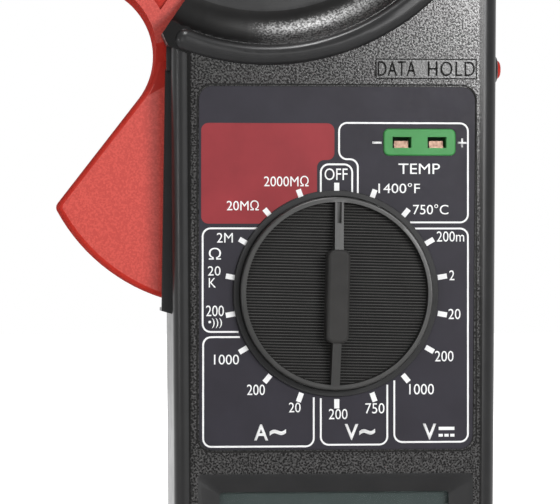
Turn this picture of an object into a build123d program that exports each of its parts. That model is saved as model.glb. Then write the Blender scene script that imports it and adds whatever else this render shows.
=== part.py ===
from build123d import *
import math
import os

# Handheld clamp meter, standing on its bottom end. Millimetres.
# +Z runs from the bottom end to the jaws, the front face looks towards -Y and
# X runs to the right. The origin is the middle of the flat bottom end.

# Body shell
BODY_HALF_BOTTOM = 33.9        # half width at the bottom end
BODY_HALF_TOP = 34.85          # half width where the sides turn into the shoulder
SHOULDER_Z = 152.0             # height where the right side starts to curve in
SLOPE_LOW_Z, SLOPE_HIGH_Z = 174.0, 214.0   # where the shoulder falls back to the jaw
BOTTOM_CORNER_R = 9.0
PANEL_Y = -16.0                # front face
REAR_Y = 15.5                  # rear face
WALL = 2.2
EDGE_R = 3.5                   # rounding of the long outer edges
FRONT_IN_Y = PANEL_Y + WALL
REAR_IN_Y = REAR_Y - WALL

# Jaw ring
RING_X, RING_Z = -14.8, 186.8
RING_OUT_R = 43.2
JAW_FOOT_Z = 156.0             # where the fixed jaw meets the handle, above the pivot's bosses
RING_IN_R = 25.0
JAW_HALF = 9.2                 # half thickness of the fixed jaw
COLLAR_HALF = 11.2             # half thickness of the collar over the jaw roots
COLLAR_WALL = 1.8
COLLAR_END = -40.0             # angle where the fixed jaw leaves the collar
BOWL_R = 44.8                  # groove between bowl and guard ridge
BOWL_FLAT_R = 36.5             # where the bowl runs out into the collar face
JAW_WALL = 1.9

# Edge of the collar beside the moving jaw: a point and a slope
BORDER_X, BORDER_Z = -36.7, 144.3
BORDER_ANGLE = 55.6

# Guard ridge under the bowl
RIDGE_X, RIDGE_Z, RIDGE_R = -14.7, 189.3, 52.0
RIDGE_RISE = 1.4
RIDGE_ROUND = 2.2              # rounding of its top, nearly its half width
RIDGE_FROM, RIDGE_TO = 244.8, 337.0     # angles of its ends at the groove
RIDGE_LEFT_X, RIDGE_RIGHT_X = -34.4, 31.4

# Moving jaw and its lever, one red moulding in two halves
PIVOT_X, PIVOT_Z = -30.8, 146.2
PIN_R = 2.0
PIN_CLEAR = 0.05
HUB_R = 5.0
RED_HALF = 9.0                 # half thickness of the jaw
LEVER_FRONT_Y = -6.5           # the lever's front face lies deeper than the jaw's
RED_WALL = 2.2
RED_EDGE_R = 1.2
JAW_SCREWS = [(-40.5, 121.0), (-49.5, 165.0)]
JAW_SCREW_TIP_Y, JAW_SCREW_SEAT_Y = -4.0, 6.0
JAW_SCREW_HEAD_R = 2.0
SCALLOP_X, SCALLOP_Z, SCALLOP_R = -53.0, 140.65, 15.3
SCALLOP_END = -38.4            # angle where the scallop runs out into the lever's upper edge
LEVER_TIP = (-59.1, 107.75)
LEVER_TIP_R = 1.6
LEVER_LOW_MID = (-46.6, 93.3)  # point on the curved lower edge
LEVER_SLOT_END = (-29.4, 86.4)
FLARE_ANGLE = 195.0            # where the jaw's outer edge leaves the ring for the thumb guard
JAW_RIM = 3.1                  # rim round the sunken face of the moving jaw
JAW_SUNK = 0.8
NECK_LOW_Z, NECK_HIGH_Z = 138.6, 142.4     # where the front slopes from lever to jaw

# Cores and coil
CORE_IN_R, CORE_OUT_R, CORE_HALF = 29.5, 38.5, 5.5
TIP_GAP = 0.35                 # half the gap between the jaw tips, degrees
CORE_RIB = (-78, -74)          # angles of the rib that clamps the fixed core

# Slot in the left side for the lever
SLOT_LOW_Z, SLOT_HIGH_Z = 86.1, 143.6
SLOT_FRONT_Y, SLOT_REAR_Y = -7.0, 9.4
LIP_WALL = 1.5
LIP_TOP_X, LIP_LOW_X = -35.7, -36.6
LIP_REAR_IN = 1.1              # the rear half's lip stands out less than the front half's
LIP_INNER_X = -32.6            # where the lip ends inside the wall
LIP_FOOT_X, LIP_FOOT_RISE = -34.2, 0.7   # slanted foot of the lip
LIP_RAISED_Z = 136.5           # above this the lip stands further forward, level with the collar
COLLAR_FOOT_Z = 141.6          # where the collar's corner runs into the lip

# Front panel
LABEL_TOP_Z, LABEL_LOW_Z = 133.1, 55.9
LABEL_TOP = (-29.2, 30.0)
LABEL_LOW = (-29.1, 29.4)
LABEL_CORNER_R = 3.0
LABEL_DEEP = 0.4
LABEL_THICK = 0.25
HOLD_PLATE = (8.4, 30.1, 134.6, 139.0)
HOLD_PLATE_DEEP = 0.25

# Range knob
KNOB_X, KNOB_Z = 0.0, 89.1
KNOB_TURN = -1.3               # degrees off the upright, as it rests at OFF
KNOB_COLLAR_R, KNOB_WELL_R = 21.8, 20.75
KNOB_COLLAR_RISE = 0.6
KNOB_R, KNOB_RIM_R = 20.45, 19.35
KNOB_BACK_Y = -15.6
KNOB_RIM_Y = -19.3
KNOB_FLOOR_Y = -17.4
GRIP_TOP_Y = -21.5
GRIP_W, GRIP_LEN = 4.8, 19.8
GRIP_LOW = 0.6                 # how far the grip's middle lies below the knob's centre
ARM_W = 1.85
POINTER_W, POINTER_FROM = 0.9, 14.9
HUB_SHAFT_R, SHAFT_CLEAR = 6.5, 0.06
ROTOR_R = 16.2
ROTOR_FRONT_Y, ROTOR_BACK_Y = -13.3, -11.3
DETENTS = 18
DETENT_RING_IN, DETENT_RING_OUT = 18.0, 19.6
BALL_R = 1.2

# Display
LCD_OUT = (-29.35, 29.4, 24.5, 50.9)       # left, right, low, high
LCD_IN = (-24.6, 24.4, 28.4, 46.9)
LCD_DEEP = 1.8
WINDOW_THICK = 0.9
CELL = (-26.0, 26.0, 26.6, 48.6)
CELL_FRONT_Y, CELL_BACK_Y = -12.7, -10.7

# Circuit board
BOARD_FRONT_Y, BOARD_BACK_Y = -8.8, -7.2
BOARD = (-30.6, 30.6, 4.2, 128.0)
BOARD_TAB = (15.0, 30.6, 126.0, 141.5)

# Thermocouple socket
TC = (10.2, 25.6, 118.4, 124.1)
TC_SLOTS_X, TC_SLOT_Z = (14.1, 21.6), 121.2
TC_SLOT_W, TC_SLOT_H = 4.05, 2.35
TC_FRONT_Y, TC_BACK_Y = -16.3, -10.2

# Input jacks
JACK_X, JACK_Z = (-20.0, 0.0, 20.0), 13.0
JACK_FLANGE_R, JACK_BARREL_R = 6.6, 5.4
JACK_FRONT_Y, JACK_BACK_Y = -16.7, 1.5
JACK_BORE_R, JACK_SLEEVE_R = 2.0, 2.7
JACK_SHROUD_R = 3.9
JACK_BORE_LEN = 15.0

# Screws
CASE_SCREWS = [(28.4, 129.6), (-28.4, 75.0), (-28.4, 10.4), (28.4, 10.4)]
BOSS_R = 3.2
SCREW_SHANK_R, SCREW_HEAD_R = 1.3, 2.7
SCREW_PILOT_R = 1.0
HEAD_WELL_R, HEAD_WELL_DEEP = 3.0, 3.4
BOARD_SCREWS = [(-26.8, 57.5), (26.8, 57.5), (26.2, 108.0), (8.0, 125.0)]

# Battery bay, open to the rear
BAY = (-27.6, 27.2, 22.0, 50.0)
BAY_FLOOR_Y, BAY_WALL = -4.6, 1.5
DOOR = (-29.2, 29.2, 14.8, 54.6)
DOOR_THICK = 2.0
BATTERY_LEN, BATTERY_W, BATTERY_THICK = 48.5, 26.5, 17.3
DOOR_SCREW_Z = 18.4
DOOR_GAP = 0.15
DOOR_HOOKS_X = (-15.0, 15.0)
DOOR_GROOVES, DOOR_GROOVE_PITCH = 5, 1.8

# Hold button on the right side
HOLD_Y, HOLD_Z = -3.4, 137.5
HOLD_R, HOLD_CLEAR = 2.2, 0.06
HOLD_COLLAR_R, HOLD_COLLAR_X = 3.1, 36.4
HOLD_OUT_X, HOLD_IN_X = 37.2, 31.0

LEAD_R = 0.55                  # wires inside the case

# Return spring of the lever
SPRING_Z, SPRING_Y = 112.0, 1.2
SPRING_R, SPRING_WIRE_R, SPRING_TURNS = 4.0, 0.45, 9
SPRING_SEAT_X = 6.0


# ---------------------------------------------------------------- helpers

def slab(face, front, back):
    """Solid of a face between two depths. The face's x is X and its y is Z."""
    return Pos(0, back, 0) * extrude(Plane.XZ * face, amount=back - front)


def box(x0, x1, y0, y1, z0, z1):
    """Box between two corners."""
    size = Box(x1 - x0, y1 - y0, z1 - z0)
    return Pos((x0 + x1) / 2, (y0 + y1) / 2, (z0 + z1) / 2) * size


def disc(x, z, radius):
    """Round face."""
    return Pos(x, z) * Circle(radius)


def rod(x, z, radius, front, back):
    """Cylinder along Y between two depths."""
    return slab(disc(x, z, radius), front, back)


def rect(x0, x1, z0, z1, corner=0.0):
    """Rectangular face, with rounded corners if asked."""
    w, h = x1 - x0, z1 - z0
    flat = RectangleRounded(w, h, corner) if corner else Rectangle(w, h)
    return Pos((x0 + x1) / 2, (z0 + z1) / 2) * flat


def polygon(*points):
    """Face through straight runs."""
    return make_face(Polyline(*points, close=True))


def ring_point(angle, radius):
    """Point on a circle round the jaw ring's centre."""
    a = math.radians(angle)
    return (RING_X + radius * math.cos(a), RING_Z + radius * math.sin(a))


def sector(r_in, r_out, start, end):
    """Flat sector of the jaw ring, counterclockwise from start to end."""
    mid = (start + end) / 2
    edges = Curve() + [
        ThreePointArc(ring_point(start, r_out), ring_point(mid, r_out), ring_point(end, r_out)),
        Line(ring_point(end, r_out), ring_point(end, r_in)),
        ThreePointArc(ring_point(end, r_in), ring_point(mid, r_in), ring_point(start, r_in)),
        Line(ring_point(start, r_in), ring_point(start, r_out)),
    ]
    return make_face(edges)


def border_point(along, across=0.0):
    """Point measured along the collar's edge and to its right."""
    a = math.radians(BORDER_ANGLE)
    return (BORDER_X + along * math.cos(a) + across * math.sin(a),
            BORDER_Z + along * math.sin(a) - across * math.cos(a))


def beside_border(across, side):
    """Large face on one side of a line beside the collar's edge: -1 left, 1 right."""
    low, high = border_point(-200, across), border_point(200, across)
    far_high, far_low = border_point(200, across + 200 * side), border_point(-200, across + 200 * side)
    return polygon(low, high, far_high, far_low)


def mirror_rear(solid):
    """The same solid on the other side of the parting plane."""
    return mirror(solid, about=Plane.XZ)


def spring(radius, wire, height, turns):
    """Helical wire spring along +Z from the origin."""
    path = Helix(pitch=height / turns, height=height, radius=radius)
    start = Plane(origin=path @ 0, z_dir=path % 0)
    return sweep(start * Circle(wire), path=path)


# ---------------------------------------------------------------- outlines

def half_width(z):
    """Half the body's width at a height."""
    return BODY_HALF_BOTTOM + (BODY_HALF_TOP - BODY_HALF_BOTTOM) * z / SHOULDER_Z


def body_outline():
    """Front outline of the body up to the border and over the right shoulder."""
    top = BODY_HALF_TOP
    rise = RING_Z - SHOULDER_Z
    reach = top - RING_X
    # radius of the shoulder arc that leaves the side upright and meets the ring in tangent
    radius = (reach ** 2 + rise ** 2 - RING_OUT_R ** 2) / (2 * (reach - RING_OUT_R))
    cx = top - radius
    gap = math.hypot(RING_X - cx, rise)
    meet = (cx + radius * (RING_X - cx) / gap, SHOULDER_Z + radius * rise / gap)
    half = math.atan2(meet[1] - SHOULDER_Z, meet[0] - cx) / 2
    mid = (cx + radius * math.cos(half), SHOULDER_Z + radius * math.sin(half))
    left_top, foot_z = border_point(-0.2), COLLAR_FOOT_Z
    edges = Curve() + [
        Line((BODY_HALF_BOTTOM, 0), (top, SHOULDER_Z)),
        ThreePointArc((top, SHOULDER_Z), mid, meet),
        Line(meet, (RING_X, RING_Z)),
        Line((RING_X, RING_Z), border_point(30)),
        Line(border_point(30), left_top),
        Line(left_top, (LIP_TOP_X, foot_z)),
        Line((LIP_TOP_X, foot_z), (-half_width(foot_z), foot_z - 0.4)),
        Line((-half_width(foot_z), foot_z - 0.4), (-BODY_HALF_BOTTOM, 0)),
        Line((-BODY_HALF_BOTTOM, 0), (BODY_HALF_BOTTOM, 0)),
    ]
    face = make_face(edges)
    corners = [v for v in face.vertices() if abs(v.Y) < 0.01]
    return fillet(corners, BOTTOM_CORNER_R)


def lever_outline():
    """Front outline of the moving jaw, its thumb guard, lever and hub."""
    flare = ring_point(FLARE_ANGLE, RING_OUT_R)
    a = math.radians(FLARE_ANGLE)
    down = (-math.sin(a), math.cos(a))
    # the thumb guard runs straight down until it meets the scallop's circle
    along = (flare[1] - SCALLOP_Z - SCALLOP_R + 1.0) / -down[1]
    guard = (flare[0] + down[0] * along, flare[1] + down[1] * along)
    top_x = guard[0] + 0.8
    scallop_top = (top_x, SCALLOP_Z + math.sqrt(SCALLOP_R ** 2 - (top_x - SCALLOP_X) ** 2))
    guard = (guard[0], scallop_top[1] + 0.5)
    end = math.radians(SCALLOP_END)
    scallop_end = (SCALLOP_X + SCALLOP_R * math.cos(end), SCALLOP_Z + SCALLOP_R * math.sin(end))
    waist = (SCALLOP_X + SCALLOP_R, SCALLOP_Z)
    top_angle = 90 + TIP_GAP
    edges = Curve() + [
        ThreePointArc(ring_point(top_angle, RING_OUT_R), ring_point(140, RING_OUT_R), flare),
        Line(flare, guard),
        Line(guard, scallop_top),
        ThreePointArc(scallop_top, waist, scallop_end),
        Line(scallop_end, LEVER_TIP),
        ThreePointArc(LEVER_TIP, LEVER_LOW_MID, LEVER_SLOT_END),
        Line(LEVER_SLOT_END, (-27.0, 104.0)),
        Line((-27.0, 104.0), (-26.6, 140.0)),
        Line((-26.6, 140.0), (PIVOT_X + HUB_R - 0.5, PIVOT_Z - 1.0)),
        Line((PIVOT_X + HUB_R - 0.5, PIVOT_Z - 1.0), (PIVOT_X + 2.2, PIVOT_Z + 4.4)),
        Line((PIVOT_X + 2.2, PIVOT_Z + 4.4), border_point(10.4)),
        Line(border_point(10.4), border_point(23.14)),
        ThreePointArc(border_point(23.14), ring_point(180, RING_IN_R), ring_point(top_angle, RING_IN_R)),
        Line(ring_point(top_angle, RING_IN_R), ring_point(top_angle, RING_OUT_R)),
    ]
    face = make_face(edges)
    return fillet(face.vertices().sort_by(Axis.X)[0], LEVER_TIP_R)


def label_outline(grow=0.0):
    """Panel label's outline, a little narrower at its foot."""
    face = polygon((LABEL_LOW[0] - grow, LABEL_LOW_Z - grow), (LABEL_LOW[1] + grow, LABEL_LOW_Z - grow),
                   (LABEL_TOP[1] + grow, LABEL_TOP_Z + grow), (LABEL_TOP[0] - grow, LABEL_TOP_Z + grow))
    return fillet(face.vertices(), LABEL_CORNER_R + grow)


# ---------------------------------------------------------------- case

def bowl(floor, rim, rim_r):
    """Solid in front of the bowl: flat in the middle, rising in an arc to its rim."""
    run = rim_r - BOWL_FLAT_R
    deep = rim - floor
    radius = (run ** 2 + deep ** 2) / (2 * deep)
    half = math.asin(run / radius) / 2
    mid = (BOWL_FLAT_R + radius * math.sin(half), floor + radius * (1 - math.cos(half)))
    profile = Curve() + [
        Line((0, floor), (BOWL_FLAT_R, floor)),
        ThreePointArc((BOWL_FLAT_R, floor), mid, (rim_r, rim)),
        Line((rim_r, rim), (rim_r, 30)),
        Line((rim_r, 30), (0, 30)),
        Line((0, 30), (0, floor)),
    ]
    # profile drawn as (radius, distance in front of the parting plane)
    flat = Plane(origin=(RING_X, 0, RING_Z), x_dir=(1, 0, 0), z_dir=(0, 0, -1)) * make_face(profile)
    axis = Axis((RING_X, 0, RING_Z), (0, 1, 0))
    turned = revolve(flat, axis, 360)
    return turned if turned.bounding_box().min.Y < -20 else mirror_rear(turned)


def collar_side():
    """Face covering the sector of the ring that the collar covers."""
    far = ring_point(COLLAR_END, 90)
    return polygon((RING_X, RING_Z), border_point(-70), (RING_X, 60), (60, 60), far)


def jaw_side():
    """Face covering the sector of the ring past the collar."""
    far = ring_point(COLLAR_END, 90)
    return polygon((RING_X, RING_Z), far, (90, 260), (RING_X, 260))


def shell_outside(depth):
    """Solid outside form of one half of the case, front half, before hollowing."""
    block = slab(body_outline(), -depth, 0)
    long_edges = [e for e in block.faces().sort_by(Axis.Y)[0].edges()
                  if (e @ 0.5).Z < COLLAR_FOOT_Z - 0.5 or (e @ 0.5).X > 20]
    block = fillet(long_edges, EDGE_R)
    fall = polygon((-depth - 1, SLOPE_LOW_Z), (-depth, SLOPE_LOW_Z), (-JAW_HALF, SLOPE_HIGH_Z),
                   (-JAW_HALF, 240), (-depth - 1, 240))
    block -= Pos(RING_X, 0, 0) * extrude(Plane.YZ * fall, amount=80)
    rim = depth - 0.35
    block -= bowl(COLLAR_HALF, rim, BOWL_R) & slab(collar_side(), -40, 0)
    block -= bowl(JAW_HALF, rim, BOWL_R) & slab(jaw_side(), -40, 0)
    jaw = slab(sector(RING_IN_R, RING_OUT_R, COLLAR_END - 4, 90 - TIP_GAP), -JAW_HALF, 0)
    jaw = chamfer(jaw.faces().sort_by(Axis.Y)[0].edges().filter_by(GeomType.CIRCLE), 1.2)
    block += jaw
    return block - rod(RING_X, RING_Z, RING_IN_R, -40, 1)


def shell_inside(depth):
    """Hollow of one half of the case, front half."""
    inner = offset(body_outline(), -WALL, kind=Kind.INTERSECTION)
    hollow = slab(inner, WALL - depth, 0)
    keep = bowl(COLLAR_HALF - COLLAR_WALL, depth - WALL, BOWL_R + 2.4)
    hollow -= keep & slab(collar_side(), -40, 1)
    hollow -= bowl(JAW_HALF - JAW_WALL, depth - WALL, BOWL_R + 2.4) & slab(jaw_side(), -40, 1)
    hollow -= rod(RING_X, RING_Z, RING_IN_R + JAW_WALL, -40, 1)
    jaw = sector(RING_IN_R + JAW_WALL, RING_OUT_R - JAW_WALL, COLLAR_END - 10, 90 - TIP_GAP - 3.2)
    hollow += slab(jaw, JAW_WALL - JAW_HALF, 0)
    # open beside the moving jaw
    edge = polygon(border_point(-0.5, -6), border_point(24, -6), border_point(24, 3.6),
                   border_point(6, 5), border_point(-8, 5))
    hollow += slab(edge, -(COLLAR_HALF - COLLAR_WALL), 0)
    # rib that clamps the core's lower leg
    hollow -= slab(sector(CORE_IN_R - 1, CORE_OUT_R + 1, *CORE_RIB), -40, -CORE_HALF)
    # the core's end face shows in the jaw tip
    return hollow + slab(sector(CORE_IN_R, CORE_OUT_R, 80, 91), -CORE_HALF, 0)


def slot_lip(front, back, inset=0.0):
    """Raised lip round the lever's slot, between two depths, with a slanted foot."""
    low, high = SLOT_LOW_Z - LIP_WALL, SLOT_HIGH_Z
    face = polygon(
        (LIP_INNER_X, low), (LIP_FOOT_X, low), (LIP_LOW_X + inset, low + LIP_FOOT_RISE),
        (LIP_TOP_X + inset, high), (LIP_INNER_X, high))
    return slab(face, front, back)


def raised_lip():
    """Upper end of the lip, level with the collar's face in front of the jaw's neck."""
    face = rect(LIP_TOP_X, -32.6, LIP_RAISED_Z, COLLAR_FOOT_Z)
    return slab(face, -COLLAR_HALF, COLLAR_WALL - COLLAR_HALF)


def slot_cut(front, back):
    """Opening for the lever through the side wall, lip and wall foot included."""
    face = rect(-46, -30, SLOT_LOW_Z - 0.1, SLOT_HIGH_Z + 4)
    upper_front = COLLAR_WALL - COLLAR_HALF if front < 0 else 0
    return slab(face, front, back) + slab(rect(-46, -30, 137, 160), upper_front, back)


def pivot_boss(depth):
    """Boss behind the collar for one end of the pivot pin, front half, kept inside the bowl's wall."""
    boss = rod(PIVOT_X, PIVOT_Z, 3.4, -12.8, COLLAR_WALL - COLLAR_HALF)
    return boss - bowl(COLLAR_HALF - 0.05, depth - 0.35, BOWL_R)


def ridge():
    """Guard ridge, a crescent bar with a rounded top."""
    in_start, in_end = ring_point(RIDGE_FROM, BOWL_R), ring_point(RIDGE_TO, BOWL_R)
    low = (RIDGE_X, RIDGE_Z - RIDGE_R)
    out_start = (RIDGE_LEFT_X, RIDGE_Z - math.sqrt(RIDGE_R ** 2 - (RIDGE_LEFT_X - RIDGE_X) ** 2))
    out_end = (RIDGE_RIGHT_X, RIDGE_Z - math.sqrt(RIDGE_R ** 2 - (RIDGE_RIGHT_X - RIDGE_X) ** 2))
    edges = Curve() + [
        ThreePointArc(in_start, (RING_X, RING_Z - BOWL_R), in_end),
        Line(in_end, out_end),
        ThreePointArc(out_end, low, out_start),
        Line(out_start, in_start),
    ]
    bar = make_face(edges)
    bar = fillet(bar.vertices(), RIDGE_ROUND + 0.1)
    solid = slab(bar, PANEL_Y - RIDGE_RISE, PANEL_Y + 1.2)
    return fillet(solid.faces().sort_by(Axis.Y)[0].edges(), RIDGE_ROUND)


def front_case():
    """Front half: panel, bowl and ridge, knob well, display recess, bosses."""
    case = shell_outside(-PANEL_Y) - shell_inside(-PANEL_Y)
    case += ridge()
    case += slot_lip(SLOT_FRONT_Y - LIP_WALL, 0)
    case -= slot_cut(SLOT_FRONT_Y, 1)
    case += raised_lip()
    case += rod(KNOB_X, KNOB_Z, KNOB_COLLAR_R, PANEL_Y - KNOB_COLLAR_RISE, PANEL_Y + 1)
    case -= slab(label_outline() - disc(KNOB_X, KNOB_Z, KNOB_COLLAR_R), PANEL_Y - 3, PANEL_Y + LABEL_DEEP)
    case -= rod(KNOB_X, KNOB_Z, KNOB_WELL_R, PANEL_Y - 3, KNOB_BACK_Y + 0.25)
    case -= rod(KNOB_X, KNOB_Z, HUB_SHAFT_R + SHAFT_CLEAR, PANEL_Y - 1, 0)
    detents = disc(KNOB_X, KNOB_Z, DETENT_RING_OUT) - disc(KNOB_X, KNOB_Z, DETENT_RING_IN)
    for i in range(DETENTS):
        a = math.radians(i * 360 / DETENTS)
        detents -= disc(KNOB_X + DETENT_RING_IN * math.sin(a), KNOB_Z + DETENT_RING_IN * math.cos(a), 0.8)
    case += slab(detents, FRONT_IN_Y, ROTOR_BACK_Y)
    case -= display_recess()
    case -= slab(rect(*HOLD_PLATE, corner=0.4), PANEL_Y - 1, PANEL_Y + HOLD_PLATE_DEEP)
    socket = rect(TC[0] - 0.05, TC[1] + 0.05, TC[2] - 0.05, TC[3] + 0.05, corner=1.25)
    case -= slab(socket, PANEL_Y - 1, TC_BACK_Y)
    for x in JACK_X:
        case -= rod(x, JACK_Z, JACK_BARREL_R, PANEL_Y - 1, 0)
    for x, z in CASE_SCREWS:
        case += rod(x, z, BOSS_R, FRONT_IN_Y, 0) - rod(x, z, SCREW_SHANK_R, FRONT_IN_Y + 3, 0)
    for x, z in BOARD_SCREWS:
        case += rod(x, z, 2.4, FRONT_IN_Y, BOARD_FRONT_Y) - rod(x, z, 1.0, FRONT_IN_Y + 1, BOARD_FRONT_Y)
    case += pivot_boss(-PANEL_Y)
    case -= rod(PIVOT_X, PIVOT_Z, PIN_R, -10.6, 1)
    case += hold_collar()
    return case - hold_hole(HOLD_R + HOLD_CLEAR)


def display_recess():
    """Bevelled recess of the display with its opening."""
    outer, inner = rect(*LCD_OUT, corner=1.2), rect(*LCD_IN, corner=0.8)
    bevel = loft([Pos(0, 0, -PANEL_Y - LCD_DEEP) * inner, Pos(0, 0, -PANEL_Y + 0.01) * outer])
    return Plane.XZ * bevel + slab(inner, PANEL_Y + LCD_DEEP - 0.1, FRONT_IN_Y + 1)


def side_rod(radius, x0, x1, y=HOLD_Y, z=HOLD_Z):
    """Cylinder along X, at the hold button's place unless told otherwise."""
    return Pos((x0 + x1) / 2, y, z) * Rot(0, 90, 0) * Cylinder(radius, x1 - x0)


def hold_collar():
    """Round boss on the right side, rounded at its outer edge."""
    boss = side_rod(HOLD_COLLAR_R, 33.0, HOLD_COLLAR_X)
    return fillet(boss.faces().sort_by(Axis.X)[-1].edges(), 0.8)


def hold_hole(radius):
    """Hole for the hold button through collar and wall."""
    return side_rod(radius, 31.5, 40)


def rear_case():
    """Rear half: back wall, jaw half, battery bay, screw bosses."""
    case = mirror_rear(shell_outside(REAR_Y) - shell_inside(REAR_Y))
    case += slot_lip(0, SLOT_REAR_Y + LIP_WALL, LIP_REAR_IN)
    case -= slot_cut(0, SLOT_REAR_Y)
    bay = rect(*BAY)
    x0, x1, z0, z1 = BAY
    tub = rect(x0 - BAY_WALL, x1 + BAY_WALL, z0 - BAY_WALL, z1 + BAY_WALL)
    case += slab(tub, 0, REAR_IN_Y) + slab(tub, BAY_FLOOR_Y - BAY_WALL, 0)
    case -= slab(bay, BAY_FLOOR_Y, REAR_Y + 1)
    case -= box(-25.6, -21.2, BAY_FLOOR_Y, 1.4, z1 - 1, z1 + BAY_WALL + 1)
    case += rod(0, DOOR_SCREW_Z, 2.8, 4.0, REAR_IN_Y)
    case -= slab(rect(*DOOR, corner=2.0), REAR_Y - DOOR_THICK, REAR_Y + 1)
    case -= rod(0, DOOR_SCREW_Z, 1.1, 5.0, REAR_Y)
    for x in DOOR_HOOKS_X:
        seat_y = REAR_Y - DOOR_THICK
        case -= box(x - 3.1, x + 3.1, seat_y - 0.01, seat_y + 1.0, DOOR[3] - 1, DOOR[3] + 2.1)
    for x, z in CASE_SCREWS:
        case += rod(x, z, BOSS_R, 0, REAR_IN_Y)
        case -= rod(x, z, SCREW_SHANK_R + 0.2, -1, REAR_Y)
        case -= rod(x, z, HEAD_WELL_R, REAR_Y - HEAD_WELL_DEEP, REAR_Y + 1)
    case += mirror_rear(pivot_boss(REAR_Y))
    case -= rod(PIVOT_X, PIVOT_Z, PIN_R, -1, 10.6)
    # seat of the lever's return spring
    case += box(SPRING_SEAT_X, SPRING_SEAT_X + 2, SPRING_Y - 6, REAR_IN_Y, SPRING_Z - 6, SPRING_Z + 6)
    return case + side_rod(SPRING_R - 0.8, SPRING_SEAT_X - 3, SPRING_SEAT_X, SPRING_Y, SPRING_Z)


def handle_and_jaw(half):
    """A case half as two pieces: the handle, and the fixed jaw that stands on it."""
    jaw_room = box(-90, 90, -40, 40, JAW_FOOT_Z, 260)
    return half - jaw_room, half & jaw_room


def battery_door():
    """Screwed door over the battery bay, with two hooks and finger ribs."""
    x0, x1, z0, z1 = DOOR
    face = rect(x0 + DOOR_GAP, x1 - DOOR_GAP, z0 + DOOR_GAP, z1 - DOOR_GAP, corner=1.9)
    door = slab(face, REAR_Y - DOOR_THICK, REAR_Y)
    door = chamfer(door.faces().sort_by(Axis.Y)[-1].edges(), 0.3)
    for x in DOOR_HOOKS_X:
        door += box(x - 3.0, x + 3.0, REAR_Y - DOOR_THICK, REAR_Y - DOOR_THICK + 0.9, z1 - 1, z1 + 1.9)
    for i in range(DOOR_GROOVES):
        low = z1 - 5.4 - DOOR_GROOVE_PITCH * i
        door -= box(-9, 9, REAR_Y - 0.4, REAR_Y + 1, low, low + 0.9)
    door -= rod(0, DOOR_SCREW_Z, 2.7, REAR_Y - 1.1, REAR_Y + 1)
    return door - rod(0, DOOR_SCREW_Z, 1.5, REAR_Y - 3, REAR_Y)


def screw(x, z, tip_y, seat_y, head_y, shank_r, head_r):
    """Cross-head screw along Y with its head towards the rear."""
    body = rod(x, z, shank_r, tip_y, seat_y) + rod(x, z, head_r, seat_y, head_y)
    for w, h in ((head_r, 0.5), (0.5, head_r)):
        body -= box(x - w / 2, x + w / 2, head_y - 0.7, head_y + 1, z - h / 2, z + h / 2)
    return body


def case_screws():
    """Four long screws from the rear case into the front case."""
    seat, tip = REAR_Y - HEAD_WELL_DEEP, FRONT_IN_Y + 3.4
    return [screw(x, z, tip, seat, seat + 2.0, SCREW_SHANK_R, SCREW_HEAD_R) for x, z in CASE_SCREWS]


def battery_door_screw():
    """Short screw that closes the battery door."""
    return screw(0, DOOR_SCREW_Z, 6.0, REAR_Y - 1.1, REAR_Y - 0.1, 1.1, 2.5)


def board_screws():
    """Four screws that hold the board to the front case."""
    tip = FRONT_IN_Y + 1.4
    return [screw(x, z, tip, BOARD_BACK_Y, BOARD_BACK_Y + 1.3, 1.0, 2.0) for x, z in BOARD_SCREWS]


# ---------------------------------------------------------------- panel

def panel_label():
    """Printed overlay in its shallow pocket."""
    face = label_outline(-0.12) - disc(KNOB_X, KNOB_Z, KNOB_COLLAR_R + 0.12)
    face -= rect(TC[0] - 0.1, TC[1] + 0.1, TC[2] - 0.1, TC[3] + 0.1, corner=1.3)
    floor = PANEL_Y + LABEL_DEEP
    return slab(face, floor - LABEL_THICK, floor)


def lcd_window():
    """Clear plate bonded behind the display opening."""
    left, right, low, high = LCD_IN
    face = rect(left - 1.6, right + 1.6, low - 1.6, high + 1.6, corner=1.0)
    return slab(face, FRONT_IN_Y, FRONT_IN_Y + WINDOW_THICK)


def lcd_cell():
    """Display cell, two glass plates stepped at the contact ledges."""
    left, right, low, high = CELL
    mid = (CELL_FRONT_Y + CELL_BACK_Y) / 2
    plate = slab(rect(left, right, low, high), CELL_FRONT_Y, mid)
    return plate + slab(rect(left, right, low + 2.6, high - 2.6), mid, CELL_BACK_Y)


def lcd_frame():
    """Frame round the cell, standing on the board."""
    left, right, low, high = CELL
    ring = rect(left - 1.5, right + 1.5, low - 1.5, high + 1.5, corner=1.0) - rect(left, right, low, high)
    return slab(ring, CELL_FRONT_Y, BOARD_FRONT_Y)


def zebra_strips():
    """Two rubber contact strips between the cell's ledges and the board."""
    left, right, low, high = CELL
    mid = (CELL_FRONT_Y + CELL_BACK_Y) / 2
    return [slab(rect(left + 1, right - 1, z - 1.2, z + 1.2), mid, BOARD_FRONT_Y)
            for z in (low + 1.3, high - 1.3)]


def thermocouple_socket():
    """Green socket with two flat slots."""
    body = slab(rect(*TC, corner=1.2), TC_FRONT_Y, TC_BACK_Y)
    body = chamfer(body.faces().sort_by(Axis.Y)[0].edges(), 0.25)
    for x in TC_SLOTS_X:
        body -= box(x - TC_SLOT_W / 2, x + TC_SLOT_W / 2, TC_FRONT_Y - 1, TC_BACK_Y + 1,
                    TC_SLOT_Z - TC_SLOT_H / 2, TC_SLOT_Z + TC_SLOT_H / 2)
    return body


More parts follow.
